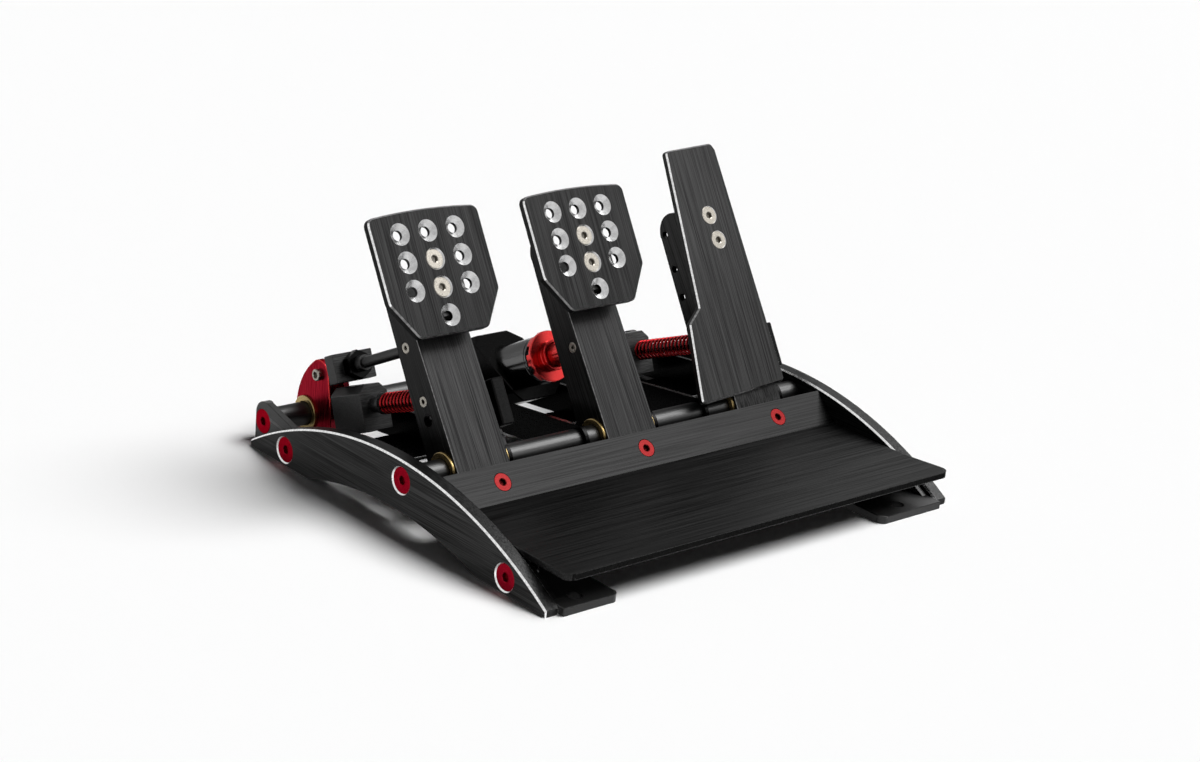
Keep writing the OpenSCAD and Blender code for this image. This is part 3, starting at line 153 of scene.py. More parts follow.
# Struts, levers and sensors
PIN_D = 7
PIN_SOCKET = 2.5
EYE_CUT = 0.5
BUSH_D = 18
BUSH_FLANGE_D = 22.5
BUSH_FLANGE_T = 1.8
SLEEVE_CUT = 0.3
SHAFT_D = 15
ARM_PINS = {"clutch": ((2.1, 42.2), (4.8, 75.7)), "brake": ((-2.2, 56.2),), "throttle": ((2.1, 42.2),)}
LEVER_OUT = 8
LEVER_T = 4.5
LEVER_PIN_LEN = 22
LEVER_PIN_R = 3.75
LEVER_PIN_CAP = 3
LEVER_PIN_NECK_R = 2.7
LEVER_PIN_CUT = 0.5
TRUNNION_AT = 82
ROD_R = 3.5
ROD_START = 6
ROD_PAST = 7
ROD_COLLAR_R = 5
ROD_COLLAR_W = 6
ROD_COLLAR_CUT = 0.3
NUT_T = 6.5
NUT_FLATS = 16
NUT_BORE_R = 3.6
NUT_CUT = 0.8
NUT_CROWN = 0.5
SENSOR_FACE = 33.5
SENSOR_SCREWS = (32.4 - 29 / 3, 32.4 + 29 / 3)

# Brake strut, measured from its pin
BRAKE_PIN = PIVOT["brake_plunger_swing"]
BRAKE_FAR = PIVOT["brake_strut_swing"]
HUB_AT = 40
HUB_R = 9.75
HUB_BORE_R = 8.2
RING_AT = 45
RING_W = 5
RING_END = RING_AT + RING_W
RING_R = 16.5
RING_LIP = 2
RING_CUT = 0.5
CYL_END = 92
CYL_R = 14.75
CYL_LIP_CUT = 0.35
CYL_NECK_R = 13.4
CYL_NECK_LEN = 3
CYL_BORE_R = 12.85
PISTON_R = 7.5
PISTON_CUT = 0.6
PISTON_HEAD_AT = RING_END + 3
PISTON_HEAD_R = 12
PISTON_HEAD_W = 3
CELL_AT = 94
RUBBERS = 3
RUBBER_R = 11.5
RUBBER_BORE_R = 4
RUBBER_CUT = 0.8
RUBBER_GAP = 0.3


# Places: each turns millimetres in a piece's own frame into metres in the object's frame
def frame_place():
    tip_y = PIVOT["clutch_press"].y - AXLE_Y * MM
    return Matrix.Translation((0, tip_y, 0)) @ Matrix.Scale(MM, 4)


def arm_place(pedal):
    tilt = Matrix.Rotation(-ARM_TILT, 4, "X")
    return Matrix.Translation(PIVOT[pedal + "_press"]) @ tilt @ Matrix.Scale(MM, 4)


def strut_place(pin, far):
    reach = far - pin
    turn = Matrix.Rotation(math.atan2(reach.z, reach.y), 4, "X")
    return Matrix.Translation(pin) @ turn @ Matrix.Scale(MM, 4)


# A drawing lies in u and v with its depth in w: these lay it in the YZ plane, the XZ plane or along Y
YZ_SHEET = Matrix(((0, 0, 1, 0), (1, 0, 0, 0), (0, 1, 0, 0), (0, 0, 0, 1)))
XZ_SHEET = Matrix(((1, 0, 0, 0), (0, 0, 1, 0), (0, 1, 0, 0), (0, 0, 0, 1)))
ALONG_Y = Matrix.Rotation(-math.pi / 2, 4, "X")


# Finishes
GRAIN_DETAIL = 5.0
GRAIN_ROUGHNESS = 0.65
TONE_RANGE = (0.4, 0.6)
ROUGH_RANGE = (0.3, 0.7)
RELIEF = 0.0001


def add(tree, kind, **settings):
    node = tree.nodes.new(kind)
    for key, value in settings.items():
        setattr(node, key, value)
    return node


def grain(tree, lengths, turn):
    """Noise whose marks have these lengths in metres along the three turned axes."""
    where = add(tree, "ShaderNodeTexCoord")
    mapping = add(tree, "ShaderNodeMapping", vector_type="TEXTURE")
    mapping.inputs["Rotation"].default_value = turn
    mapping.inputs["Scale"].default_value = lengths
    noise = add(tree, "ShaderNodeTexNoise")
    noise.inputs["Scale"].default_value = 1.0
    noise.inputs["Detail"].default_value = GRAIN_DETAIL
    noise.inputs["Roughness"].default_value = GRAIN_ROUGHNESS
    tree.links.new(where.outputs["Object"], mapping.inputs["Vector"])
    tree.links.new(mapping.outputs["Vector"], noise.inputs["Vector"])
    return noise.outputs["Fac"]


def finish(name, dark, light, rough, lengths, turn=(0, 0, 0), metal=1.0, edge=1.0, bump=0.1):
    """A surface whose colour, roughness and relief all follow one grain."""
    material = bpy.data.materials.new(name)
    material.use_nodes = True
    tree = material.node_tree
    shader = tree.nodes["Principled BSDF"]
    shader.inputs["Metallic"].default_value = metal
    shader.inputs["Specular Tint"].default_value = (edge, edge, edge, 1)
    marks = grain(tree, lengths, turn)
    ramp = add(tree, "ShaderNodeValToRGB")
    ramp.color_ramp.elements[0].position = TONE_RANGE[0]
    ramp.color_ramp.elements[0].color = (*dark, 1)
    ramp.color_ramp.elements[1].position = TONE_RANGE[1]
    ramp.color_ramp.elements[1].color = (*light, 1)
    spread = add(tree, "ShaderNodeMapRange")
    spread.inputs["From Min"].default_value = ROUGH_RANGE[0]
    spread.inputs["From Max"].default_value = ROUGH_RANGE[1]
    spread.inputs["To Min"].default_value = rough[0]
    spread.inputs["To Max"].default_value = rough[1]
    relief = add(tree, "ShaderNodeBump")
    relief.inputs["Strength"].default_value = bump
    relief.inputs["Distance"].default_value = RELIEF
    tree.links.new(marks, ramp.inputs["Fac"])
    tree.links.new(marks, spread.inputs["Value"])
    tree.links.new(marks, relief.inputs["Height"])
    tree.links.new(ramp.outputs["Color"], shader.inputs["Base Color"])
    tree.links.new(spread.outputs["Result"], shader.inputs["Roughness"])
    tree.links.new(relief.outputs["Normal"], shader.inputs["Normal"])
    return material


def grey(value):
    return (value, value, value)


LEAN = (-ARM_TILT, 0, 0)
ARM_LEAN = (-ARM_TILT - ARM_TAPER, 0, 0)
STREAKS_X = (0.09, 0.0005, 0.0005)
STREAKS_Y = (0.0005, 0.09, 0.0005)
STREAKS_Z = (0.0005, 0.0005, 0.09)
SPECKS = (0.002, 0.002, 0.002)
FINE = (0.0008, 0.0008, 0.0008)
BRUSHED = {"edge": 0.56, "bump": 0.12}
DARK = {"edge": 0.5, "bump": 0.03}
plate_brush = finish("plate_brush", grey(0.009), grey(0.042), (0.3, 0.44), STREAKS_Y, **BRUSHED)
arm_brush = finish("arm_brush", grey(0.006), grey(0.026), (0.32, 0.44), STREAKS_Z, ARM_LEAN, **BRUSHED)
pad_brush = finish("pad_brush", grey(0.006), grey(0.022), (0.34, 0.46), STREAKS_Z, LEAN, **BRUSHED)
long_brush = finish("long_brush", grey(0.009), grey(0.03), (0.34, 0.46), STREAKS_Z, LEAN, **BRUSHED)
heel_brush = finish("heel_brush", grey(0.005), grey(0.028), (0.34, 0.46), STREAKS_X, **BRUSHED)
# Painted shade: a darker copy of the heel plate's finish, for its ramp
ramp_shaded_brush = finish("ramp_shaded_brush", grey(0.006), grey(0.0135), (0.34, 0.46), STREAKS_X, **BRUSHED)
bare_edge = finish("bare_edge", grey(0.6), grey(0.8), (0.2, 0.32), SPECKS, bump=0.02)
# On the pads' chamfer this dull finish is painted shade on all but the steep left edges
dull_edge = finish("dull_edge", grey(0.1), grey(0.2), (0.28, 0.4), SPECKS, bump=0.02)
heel_edge = finish("heel_edge", grey(0.014), grey(0.03), (0.3, 0.4), SPECKS, bump=0.02)
machined = finish("machined", grey(0.4), grey(0.5), (0.22, 0.26), (0.005, 0.005, 0.005), LEAN, bump=0.0)
block_black = finish(
    "block_black", grey(0.022), grey(0.052), (0.4, 0.52), (0.01, 0.0005, 0.0005), metal=0.85, edge=0.65)
sheet_black = finish("sheet_black", grey(0.004), grey(0.008), (0.22, 0.32), FINE, **DARK)
sheet_edge = finish("sheet_edge", grey(0.02), grey(0.04), (0.25, 0.35), FINE, **DARK)
foot_brush = finish(
    "foot_brush", grey(0.012), grey(0.028), (0.3, 0.42), (0.0005, 0.05, 0.0005), metal=0.5, edge=0.7)
oxide_black = finish("oxide_black", grey(0.036), grey(0.05), (0.36, 0.42), (0.03, 0.0009, 0.0009), **DARK)
tube_black = finish("tube_black", grey(0.07), grey(0.085), (0.14, 0.2), (0.0009, 0.03, 0.03), **DARK)
gloss_black = finish("gloss_black", grey(0.0045), grey(0.008), (0.2, 0.28), FINE, **DARK)
grained_plastic = finish(
    "grained_plastic", grey(0.004), grey(0.01), (0.45, 0.55), (0.0005,) * 3, edge=0.5, bump=0.3)
red_brush = finish(
    "red_brush", (0.13, 0.009, 0.015), (0.25, 0.018, 0.029), (0.24, 0.36), (0.0008, 0.0008, 0.03), edge=0.3)
red_satin = finish(
    "red_satin", (0.52, 0.026, 0.026), (0.62, 0.036, 0.034), (0.18, 0.26), FINE, metal=0.75, edge=0.7,
    bump=0.01)
red_screw = finish(
    "red_screw", (0.17, 0.004, 0.012), (0.24, 0.007, 0.017), (0.3, 0.4), FINE, edge=0.3, bump=0.05)
# Painted shade: a darker red than the other screws, for the screws on the heel plate's ramp
red_heel_shaded = finish(
    "red_heel_shaded", (0.055, 0.005, 0.0055), (0.08, 0.008, 0.008), (0.3, 0.4), FINE, edge=0.3, bump=0.05)
red_wire = finish(
    "red_wire", (0.17, 0.006, 0.008), (0.27, 0.014, 0.016), (0.18, 0.28), FINE, edge=0.7, bump=0.04)
bronze = finish("bronze", (0.2, 0.14, 0.05), (0.32, 0.24, 0.11), (0.25, 0.4), FINE, bump=0.05)
stainless = finish("stainless", (0.2, 0.188, 0.165), (0.25, 0.233, 0.205), (0.26, 0.32), FINE, bump=0.005)
dark_steel = finish("dark_steel", grey(0.02), grey(0.05), (0.2, 0.3), FINE, bump=0.03)
ring_rubber = finish("ring_rubber", grey(0.02), grey(0.035), (0.5, 0.62), FINE, metal=0.0, bump=0.15)

# Slots of the finishes that a plate, a pad or the heel plate has; a pad's shaded chamfer and the heel plate's ramp
# and front face take painted shade
FACE, BRIGHT, MACHINED, SHADED_EDGE = range(4)
HEEL_FLAT, HEEL_SHADED_RAMP, HEEL_SHADED_FRONT = range(3)


# Drawing helpers
def arc(start, end, rise, steps):
    """Points from start to end, both left out, on an arc that stands rise to the left of the chord."""
    a = Vector(start)
    chord = Vector(end) - a
    half = chord.length / 2
    left = Vector((-chord.y, chord.x)).normalized()
    radius = (half * half + rise * rise) / (2 * rise)
    centre = a + chord / 2 + left * (rise - radius)
    first = a - centre
    turn = -2 * math.asin(half / radius)
    return [centre + Matrix.Rotation(turn * k / steps, 2) @ first for k in range(1, steps)]


def rounded(corners, radius, steps=6):
    """A closed outline with every corner rounded."""
    points = []
    count = len(corners)
    for k in range(count):
        corner = Vector(corners[k])
        back = (Vector(corners[k - 1]) - corner).normalized()
        ahead = (Vector(corners[(k + 1) % count]) - corner).normalized()
        half = back.angle(ahead) / 2
        centre = corner + (back + ahead).normalized() * radius / math.sin(half)
        first = corner + back * radius / math.tan(half) - centre
        last = corner + ahead * radius / math.tan(half) - centre
        turn = first.angle_signed(last)
        points += [centre + Matrix.Rotation(-turn * s / steps, 2) @ first for s in range(steps + 1)]
    return points


def inset(points, amounts):
    """A counterclockwise outline whose edges move inwards, each by the amount of its first point."""
    moved = []
    count = len(points)
    for k in range(count):
        before = (points[k] - points[k - 1]).normalized()
        after = (points[(k + 1) % count] - points[k]).normalized()
        n1 = Vector((-before.y, before.x))
        n2 = Vector((-after.y, after.x))
        a1 = amounts[k - 1]
        a2 = amounts[k]
        turn = n1.x * n2.y - n1.y * n2.x
        if abs(turn) < STRAIGHT:
            moved.append(points[k] + (n1 + n2).normalized() * (a1 + a2) / 2)
        else:
            moved.append(points[k] + Vector((a1 * n2.y - a2 * n1.y, a2 * n1.x - a1 * n2.x)) / turn)
    return moved


def ring_of(bm, points, depth):
    return [bm.verts.new((p[0], p[1], depth)) for p in points]


def wall(bm, low, high, slots):
    """Faces between two rings: a ring of one point is a pole."""
    count = max(len(low), len(high))
    for k in range(count):
        n = (k + 1) % count
        corners = [low[k % len(low)], low[n % len(low)], high[n % len(high)], high[k % len(high)]]
        corners = list(dict.fromkeys(corners))
        face = bm.faces.new(corners)
        face.material_index = slots[k] if isinstance(slots, list) else slots


def cap(bm, rings):
    """Fills an outline round its holes with faces of the first finish."""
    edges = []
    for ring in rings:
        for k in range(len(ring)):
            pair = (ring[k], ring[(k + 1) % len(ring)])
            edges.append(bm.edges.get(pair) or bm.edges.new(pair))
    filled = bmesh.ops.triangle_fill(bm, use_beauty=True, edges=edges)
    for item in filled["geom"]:
        if isinstance(item, bmesh.types.BMFace):
            item.material_index = FACE


def circle(centre, radius, steps=40):
    turns = [2 * math.pi * k / steps for k in range(steps)]
    return [Vector((centre[0] + radius * math.cos(a), centre[1] + radius * math.sin(a))) for a in turns]


def plate(outline, stations, holes=()):
    """A plate whose edge runs through stations of depth, inset and slot.

    A hole has a centre and stations of depth, radius and slot. The slot is that of the wall up to there.
    """
    bm = bmesh.new()
    rims = []
    rings = []
    for depth, amounts, slot in stations:
        amounts = amounts if isinstance(amounts, list) else [amounts] * len(outline)
        rings.append(ring_of(bm, inset(outline, amounts), depth))
        if len(rings) > 1:
            wall(bm, rings[-2], rings[-1], slot)
    rims.append((rings[0], rings[-1]))
    for centre, steps in holes:
        rings = []
        for depth, radius, slot in steps:
            rings.append(ring_of(bm, circle(centre, radius), depth))
            if len(rings) > 1:
                wall(bm, rings[-2], rings[-1], slot)
        rims.append((rings[0], rings[-1]))
    for side in (0, 1):
        cap(bm, [rim[side] for rim in rims])
    return bm


def hexagon(flats):
    """Radius of a hexagon of this size across its flats, by angle."""
    return lambda a: flats / 2 / math.cos((a + math.pi / 6) % (math.pi / 3) - math.pi / 6)


def hex_socket(flats, rim, dip, depth, tip, top=0):
    """Stations of a hexagon socket: a round rim, its mouth, the foot of its walls and a pointed floor."""
    reach = hexagon(flats)
    return [(top, flats / 2 + rim), (top - dip, reach), (top - depth, reach), (top - tip, 0)]


def groove(start, end, radius, depth, slope):
    """Stations of a groove with sloping sides round a turned piece."""
    low = radius - depth
    return [(start, radius), (start + slope, low), (end - slope, low), (end, radius)]


def turned(stations, steps=48, closed=False):
    """A turned piece through stations of height and radius: a radius may depend on the angle."""
    bm = bmesh.new()
    turns = [2 * math.pi * k / steps for k in range(steps)]
    rings = []
    for height, radius in stations:
        if radius == 0:
            rings.append([bm.verts.new((0, 0, height))])
        else:
            reach = radius if callable(radius) else lambda a, r=radius: r
            points = [(reach(a) * math.cos(a), reach(a) * math.sin(a)) for a in turns]
            rings.append(ring_of(bm, points, height))
        if len(rings) > 1:
            wall(bm, rings[-2], rings[-1], FACE)
    if closed:
        wall(bm, rings[-1], rings[0], FACE)
    return bm


def mesh_of(name, parts, finishes):
    """One mesh of drawn parts, each laid at its place, with outward faces and crisp edges."""
    whole = bmesh.new()
    for bm, place in parts:
        bmesh.ops.transform(bm, matrix=place, verts=bm.verts)
        bmesh.ops.recalc_face_normals(bm, faces=bm.faces)
        part = bpy.data.meshes.new("part")
        bm.to_mesh(part)
        bm.free()
        whole.from_mesh(part)
        bpy.data.meshes.remove(part)
    mesh = bpy.data.meshes.new(name)
    whole.to_mesh(mesh)
    whole.free()
    for material in finishes:
        mesh.materials.append(material)
    return crisp(mesh)


def crisp(mesh, sharp=SHARP_ANGLE):
    """Smooth faces with every edge above this angle kept sharp."""
    mesh.polygons.foreach_set("use_smooth", [True] * len(mesh.polygons))
    mesh.set_sharp_from_angle(angle=sharp)
    return mesh


def show(name, mesh, node):
    """A piece that rides its node's body and stands for that node."""
    piece = bpy.data.objects.new(name, mesh)
    bpy.context.scene.collection.objects.link(piece)
    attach(piece, BODY[node])
    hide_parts(node)
    return piece


def drawn(name, parts, finishes, node):
    """A piece made of drawn parts."""
    return show(name, mesh_of(name, parts, finishes), node)


def chamfered(node, width, finishes, pick=None, face_slot=None):
    """A node's own shape with its convex edges cut.

    The cut takes the last finish, and a face takes the one that face_slot picks for it.
    """
    bm = bmesh.new()
    bm.from_mesh(frame["nodes"][node].data)
    bmesh.ops.remove_doubles(bm, verts=bm.verts, dist=WELD * MM)
    bmesh.ops.dissolve_limit(bm, angle_limit=FLAT_ANGLE, verts=bm.verts, edges=bm.edges)
    for face in bm.faces:
        face.material_index = face_slot(face.normal) if face_slot else FACE
    edges = [e for e in bm.edges if e.is_convex and e.calc_face_angle(0) > CUT_ANGLE]
    if pick:
        edges = [e for e in edges if pick(e)]
    bmesh.ops.bevel(
        bm, geom=edges, offset=width * MM, offset_type="OFFSET", segments=1, affect="EDGES",
        clamp_overlap=False, material=len(finishes) - 1, loop_slide=True)
    bmesh.ops.triangulate(bm, faces=[f for f in bm.faces if len(f.verts) > 4])
    mesh = bpy.data.meshes.new(node + "_shape")
    bm.to_mesh(mesh)
    bm.free()
    for material in finishes:
        mesh.materials.append(material)
    crisp(mesh)
    for polygon in mesh.polygons:
        polygon.use_smooth = polygon.area < FLAT_AREA * MM * MM
    return show(node + "_shape", mesh, node)


# Geometry node trees for what repeats
COIL_STEPS = 28
WIRE_STEPS = 12


def node_tree(name, inputs):
    tree = bpy.data.node_groups.new(name, "GeometryNodeTree")
    tree.interface.new_socket("Geometry", in_out="OUTPUT", socket_type="NodeSocketGeometry")
    for label, kind in inputs:
        tree.interface.new_socket(label, in_out="INPUT", socket_type=kind)
    return tree, add(tree, "NodeGroupInput"), add(tree, "NodeGroupOutput")


def close_tree(tree, given, out, geometry):
    """Every tree ends in real geometry with its finish set."""
    real = add(tree, "GeometryNodeRealizeInstances")
    paint = add(tree, "GeometryNodeSetMaterial")
    tree.links.new(geometry, real.inputs["Geometry"])
    tree.links.new(real.outputs["Geometry"], paint.inputs["Geometry"])
    tree.links.new(given.outputs["Finish"], paint.inputs["Material"])
    tree.links.new(paint.outputs["Geometry"], out.inputs["Geometry"])
    return tree


def run_tree(tree, values, base=None):
    """The plain mesh that a tree makes with these values."""
    carrier = bpy.data.objects.new("carrier", base or bpy.data.meshes.new("carrier"))
    bpy.context.scene.collection.objects.link(carrier)
    modifier = carrier.modifiers.new("tree", "NODES")
    modifier.node_group = tree
    for item in tree.interface.items_tree:
        if item.in_out == "INPUT" and item.name in values:
            modifier[item.identifier] = values[item.name]
    carrier.update_tag()
    bpy.context.view_layer.update()
    ready = carrier.evaluated_get(bpy.context.evaluated_depsgraph_get())
    mesh = bpy.data.meshes.new_from_object(ready)
    carrier.modifiers.clear()
    bpy.data.objects.remove(carrier)
    return mesh


def make_coil_tree():
    tree, given, out = node_tree("spring_coil", [
        ("Turns", "NodeSocketFloat"), ("Coil radius", "NodeSocketFloat"), ("Length", "NodeSocketFloat"),
        ("Wire radius", "NodeSocketFloat"), ("Finish", "NodeSocketMaterial")])
    spiral = add(tree, "GeometryNodeCurveSpiral")
    spiral.inputs["Resolution"].default_value = COIL_STEPS
    wire = add(tree, "GeometryNodeCurvePrimitiveCircle")
    wire.inputs["Resolution"].default_value = WIRE_STEPS
    sweep = add(tree, "GeometryNodeCurveToMesh")
    sweep.inputs["Fill Caps"].default_value = True
    tree.links.new(given.outputs["Turns"], spiral.inputs["Rotations"])
    tree.links.new(given.outputs["Coil radius"], spiral.inputs["Start Radius"])
    tree.links.new(given.outputs["Coil radius"], spiral.inputs["End Radius"])
    tree.links.new(given.outputs["Length"], spiral.inputs["Height"])
    tree.links.new(given.outputs["Wire radius"], wire.inputs["Radius"])
    tree.links.new(spiral.outputs["Curve"], sweep.inputs["Curve"])
    tree.links.new(wire.outputs["Curve"], sweep.inputs["Profile Curve"])
    return close_tree(tree, given, out, sweep.outputs["Mesh"])


def make_fastener_tree():
    tree, given, out = node_tree("fasteners", [
        ("Geometry", "NodeSocketGeometry"), ("Fastener", "NodeSocketObject"),
        ("Finish", "NodeSocketMaterial")])
    master = add(tree, "GeometryNodeObjectInfo")
    aim = add(tree, "GeometryNodeInputNamedAttribute", data_type="FLOAT_VECTOR")
    aim.inputs["Name"].default_value = "aim"
    face = add(tree, "FunctionNodeAlignRotationToVector", axis="Z")
    spread = add(tree, "GeometryNodeInstanceOnPoints")
    tree.links.new(given.outputs["Fastener"], master.inputs["Object"])
    tree.links.new(given.outputs["Geometry"], spread.inputs["Points"])
    tree.links.new(master.outputs["Geometry"], spread.inputs["Instance"])
    tree.links.new(aim.outputs["Attribute"], face.inputs["Vector"])
    tree.links.new(face.outputs["Rotation"], spread.inputs["Rotation"])
    return close_tree(tree, given, out, spread.outputs["Instances"])


coil_tree = make_coil_tree()
fastener_tree = make_fastener_tree()


def fasteners(name, shape, sites, material, node):
    """One shape, drawn in millimetres with its head towards +Z, set at every site.

    A site has a place in metres and an outward aim.
    """
    base = bpy.data.meshes.new("sites")
    base.from_pydata([site for site, aim in sites], [], [])
    aims = base.attributes.new("aim", "FLOAT_VECTOR", "POINT")
    for k, (site, aim) in enumerate(sites):
        aims.data[k].vector = aim
    shape_mesh = mesh_of("master", [(shape, Matrix.Scale(MM, 4))], [material])
    master = bpy.data.objects.new("master", shape_mesh)
    bpy.context.scene.collection.objects.link(master)
    mesh = run_tree(fastener_tree, {"Fastener": master, "Finish": material}, base)
    bpy.data.objects.remove(master)
    return show(name, crisp(mesh), node)


def sunk_screw(head, shank, length, socket):
    """A countersunk screw with a hexagon socket, its flat top at height 0."""
    cone = (head - shank) / 2
    body = [
        (-length, 0), (-length, shank / 2 - SHANK_CUT), (-length + SHANK_CUT, shank / 2), (-cone, shank / 2),
        (-HEAD_CUT, head / 2), (0, head / 2 - HEAD_CUT)]
    return turned(body + hex_socket(socket, rim=0.55, dip=0.25, depth=2.6, tip=3.3))


def cap_screw(head, height, socket):
    """A round screw head with a hexagon socket, standing on height 0."""
    body = [(0, 0), (0, head / 2), (height - SMALL_BEVEL, head / 2), (height, head / 2 - SMALL_BEVEL)]
    recess = hex_socket(socket, rim=0.5, dip=0.2, depth=0.7 * height, tip=0.8 * height, top=height)
    return turned(body + recess)


def sites_at(place, points, aim):
    """Sites in metres from points in a piece's own frame, with its own aim."""
    turn = place.to_3x3()
    return [(place @ Vector(p), (turn @ Vector(aim)).normalized()) for p in points]


# Side plates with bare bevels along both top edges and round the ends, and bare countersinks
def side_plate(node, side):
    low_front = [Vector((0, 0)), Vector((PLATE_FOOT, 0))]
    arch = arc((PLATE_FOOT, 0), (PLATE_LEN - PLATE_FOOT, 0), ARCH_H, ARCH_STEPS)
    low_rear = [Vector((PLATE_LEN - PLATE_FOOT, 0)), Vector((PLATE_LEN, 0))]
    rear_tip = Vector((PLATE_LEN, PLATE_TIP))
    front_tip = Vector((0, PLATE_TIP))
    crown = arc(front_tip, rear_tip, PLATE_PEAK - PLATE_TIP, CROWN_STEPS)[::-1]
    outline = low_front + arch + low_rear + [rear_tip] + crown + [front_tip]
    count = len(outline)
    top_from = count - len(crown) - 2
    on_top = [top_from <= k < count - 1 for k in range(count)]
    bare = [BRIGHT if k >= top_from - 1 else FACE for k in range(count)]
    cut = [PLATE_BEVEL if top else SMALL_BEVEL for top in on_top]
    half_cut = [PLATE_BEVEL - SMALL_BEVEL if top else 0 for top in on_top]
    stations = [
        (0, cut, FACE), (SMALL_BEVEL, half_cut, bare), (PLATE_BEVEL, 0, bare),
        (PLATE_T - PLATE_BEVEL, 0, FACE), (PLATE_T - SMALL_BEVEL, half_cut, bare), (PLATE_T, cut, bare)]
    hole = M8 / 2 + SLACK
    sink = (RIM_D - M8) / 2
    steps = [(0, hole, FACE), (PLATE_T - sink, hole, BRIGHT), (PLATE_T, RIM_D / 2, BRIGHT)]
    bm = plate(outline, stations, [(screw, steps) for screw in PLATE_SCREWS])
    lay = Matrix.Diagonal((side, 1, 1, 1)) @ Matrix.Translation((INNER_W / 2, 0, 0)) @ YZ_SHEET
    return drawn(node + "_shape", [(bm, frame_place() @ lay)], [plate_brush, bare_edge], node)


side_plate("left_side_plate", -1)
side_plate("right_side_plate", 1)


# Perforated pads of the clutch and the brake, and the throttle's long pad
def row_z(row):
    return PAD_TOP - HOLE_TOP - row * HOLE_PITCH_Z


def pad_outline():
    """A pad's rounded outline with a low arch along its top."""
    half = PAD_W / 2
    foot = PAD_FOOT_W / 2
    low = PAD_TOP - PAD_H
    shoulder = low + PAD_SLANT
    edge_top = PAD_TOP - PAD_ARCH
    right = [(foot, low), (half, shoulder), (half, edge_top)]
    left = [(-half, edge_top), (-half, shoulder)]
    points = rounded([(-foot, low)] + right + left, PAD_R)
    outline = []
    for k, point in enumerate(points):
        outline.append(point)
        after = points[(k + 1) % len(points)]
        on_top = min(point.y, after.y) > edge_top - NEAR
        if on_top and (after - point).length > 2 * PAD_R:
            outline += arc(point, after, -PAD_ARCH, PAD_ARCH_STEPS)
    return outline


def edge_shade_slots(outline):
    """Finishes of a pad's front chamfer: bare and bright on its steep left edges, and on the others a dull finish
    that is painted shade on the same bare cut.
    """
    slots = []
    for k, point in enumerate(outline):
        ahead = (outline[(k + 1) % len(outline)] - point).normalized()
        slots.append(BRIGHT if ahead.y < -STEEP else SHADED_EDGE)
    return slots


def pad_edge(outline, thick):
    """Edge stations of a pad: a wide chamfer in front and a small one behind."""
    return [
        (0, PAD_CHAMFER, FACE), (PAD_CHAMFER, 0, edge_shade_slots(outline)), (thick - SMALL_BEVEL, 0, FACE),
        (thick, SMALL_BEVEL, FACE)]


def foot_pad(pedal):
    node = pedal + "_pad"
    shift = PAD_SHIFT[pedal]
    outline = pad_outline()
    screwed = [(0, row_z(1)), (0, row_z(2))]
    spots = [(i * HOLE_PITCH_X, row_z(k)) for i in (-1, 0, 1) for k in range(3)] + [(0, row_z(3))]
    holes = []
    for spot in spots:
        sink = (HOLE_SINK_D - HOLE_D) / 2 if spot in screwed else HOLE_SINK_H
        steps = [(0, HOLE_SINK_D / 2, MACHINED), (sink, HOLE_D / 2, MACHINED), (PAD_T, HOLE_D / 2, FACE)]
        holes.append((spot, steps))
    bm = plate(outline, pad_edge(outline, PAD_T), holes)
    lay = Matrix.Translation((shift, -PAD_FRONT, 0)) @ XZ_SHEET
    # Painted shade: the pad's chamfer is dull on all but its steep left edges
    finishes = [pad_brush, bare_edge, machined, dull_edge]
    drawn(node + "_shape", [(bm, arm_place(pedal) @ lay)], finishes, node)
    screw_y = -PAD_FRONT + (HOLE_SINK_D - M6_HEAD) / 2 - SLACK
    face = -ARM_D / 2 + (row_z(2) + ARM_TOE) * math.tan(ARM_TAPER)
    length = face + ARM_WALL - screw_y
    sites = sites_at(arm_place(pedal), [(shift, screw_y, z) for x, z in screwed], (0, -1, 0))
    shape = sunk_screw(M6_HEAD, M6, length, M6_SOCKET)
    fasteners(node + "_bolts", shape, sites, stainless, node + "_screws")


def long_pad():
    node = "throttle_pad"
    outline = rounded(LONG_PAD_CORNERS, LONG_PAD_R)
    rim = M6_HEAD / 2 + SLACK
    hole = M6 / 2 + SLACK
    steps = [(0, rim, MACHINED), (rim - hole, hole, MACHINED), (LONG_PAD_T, hole, FACE)]
    bm = plate(outline, pad_edge(outline, LONG_PAD_T), [(screw, steps) for screw in LONG_SCREWS])
    front = -ARM_D / 2 - LONG_PAD_T
    lay = Matrix.Translation((0, front, 0)) @ XZ_SHEET
    finishes = [long_brush, bare_edge, machined, dull_edge]
    drawn(node + "_shape", [(bm, arm_place("throttle") @ lay)], finishes, node)
    sites = sites_at(arm_place("throttle"), [(x, front + SLACK, z) for x, z in LONG_SCREWS], (0, -1, 0))
    shape = sunk_screw(M6_HEAD, M6, LONG_SCREW_LEN, M6_SOCKET)
    fasteners(node + "_bolts", shape, sites, stainless, node + "_screws")


foot_pad("clutch")
foot_pad("brake")
long_pad()


# Sheet and block pieces keep their drawn shape and get cut edges
def longer(least):
    return lambda edge: edge.calc_length() > least * MM


def long_left(pedal, least):
    """Picks the long edges on the left side of a pedal."""
    side = PIVOT[pedal + "_press"].x - (ARM_W / 2 - SIDE_REACH) * MM
    return lambda edge: longer(least)(edge) and all(v.co.x < side for v in edge.verts)


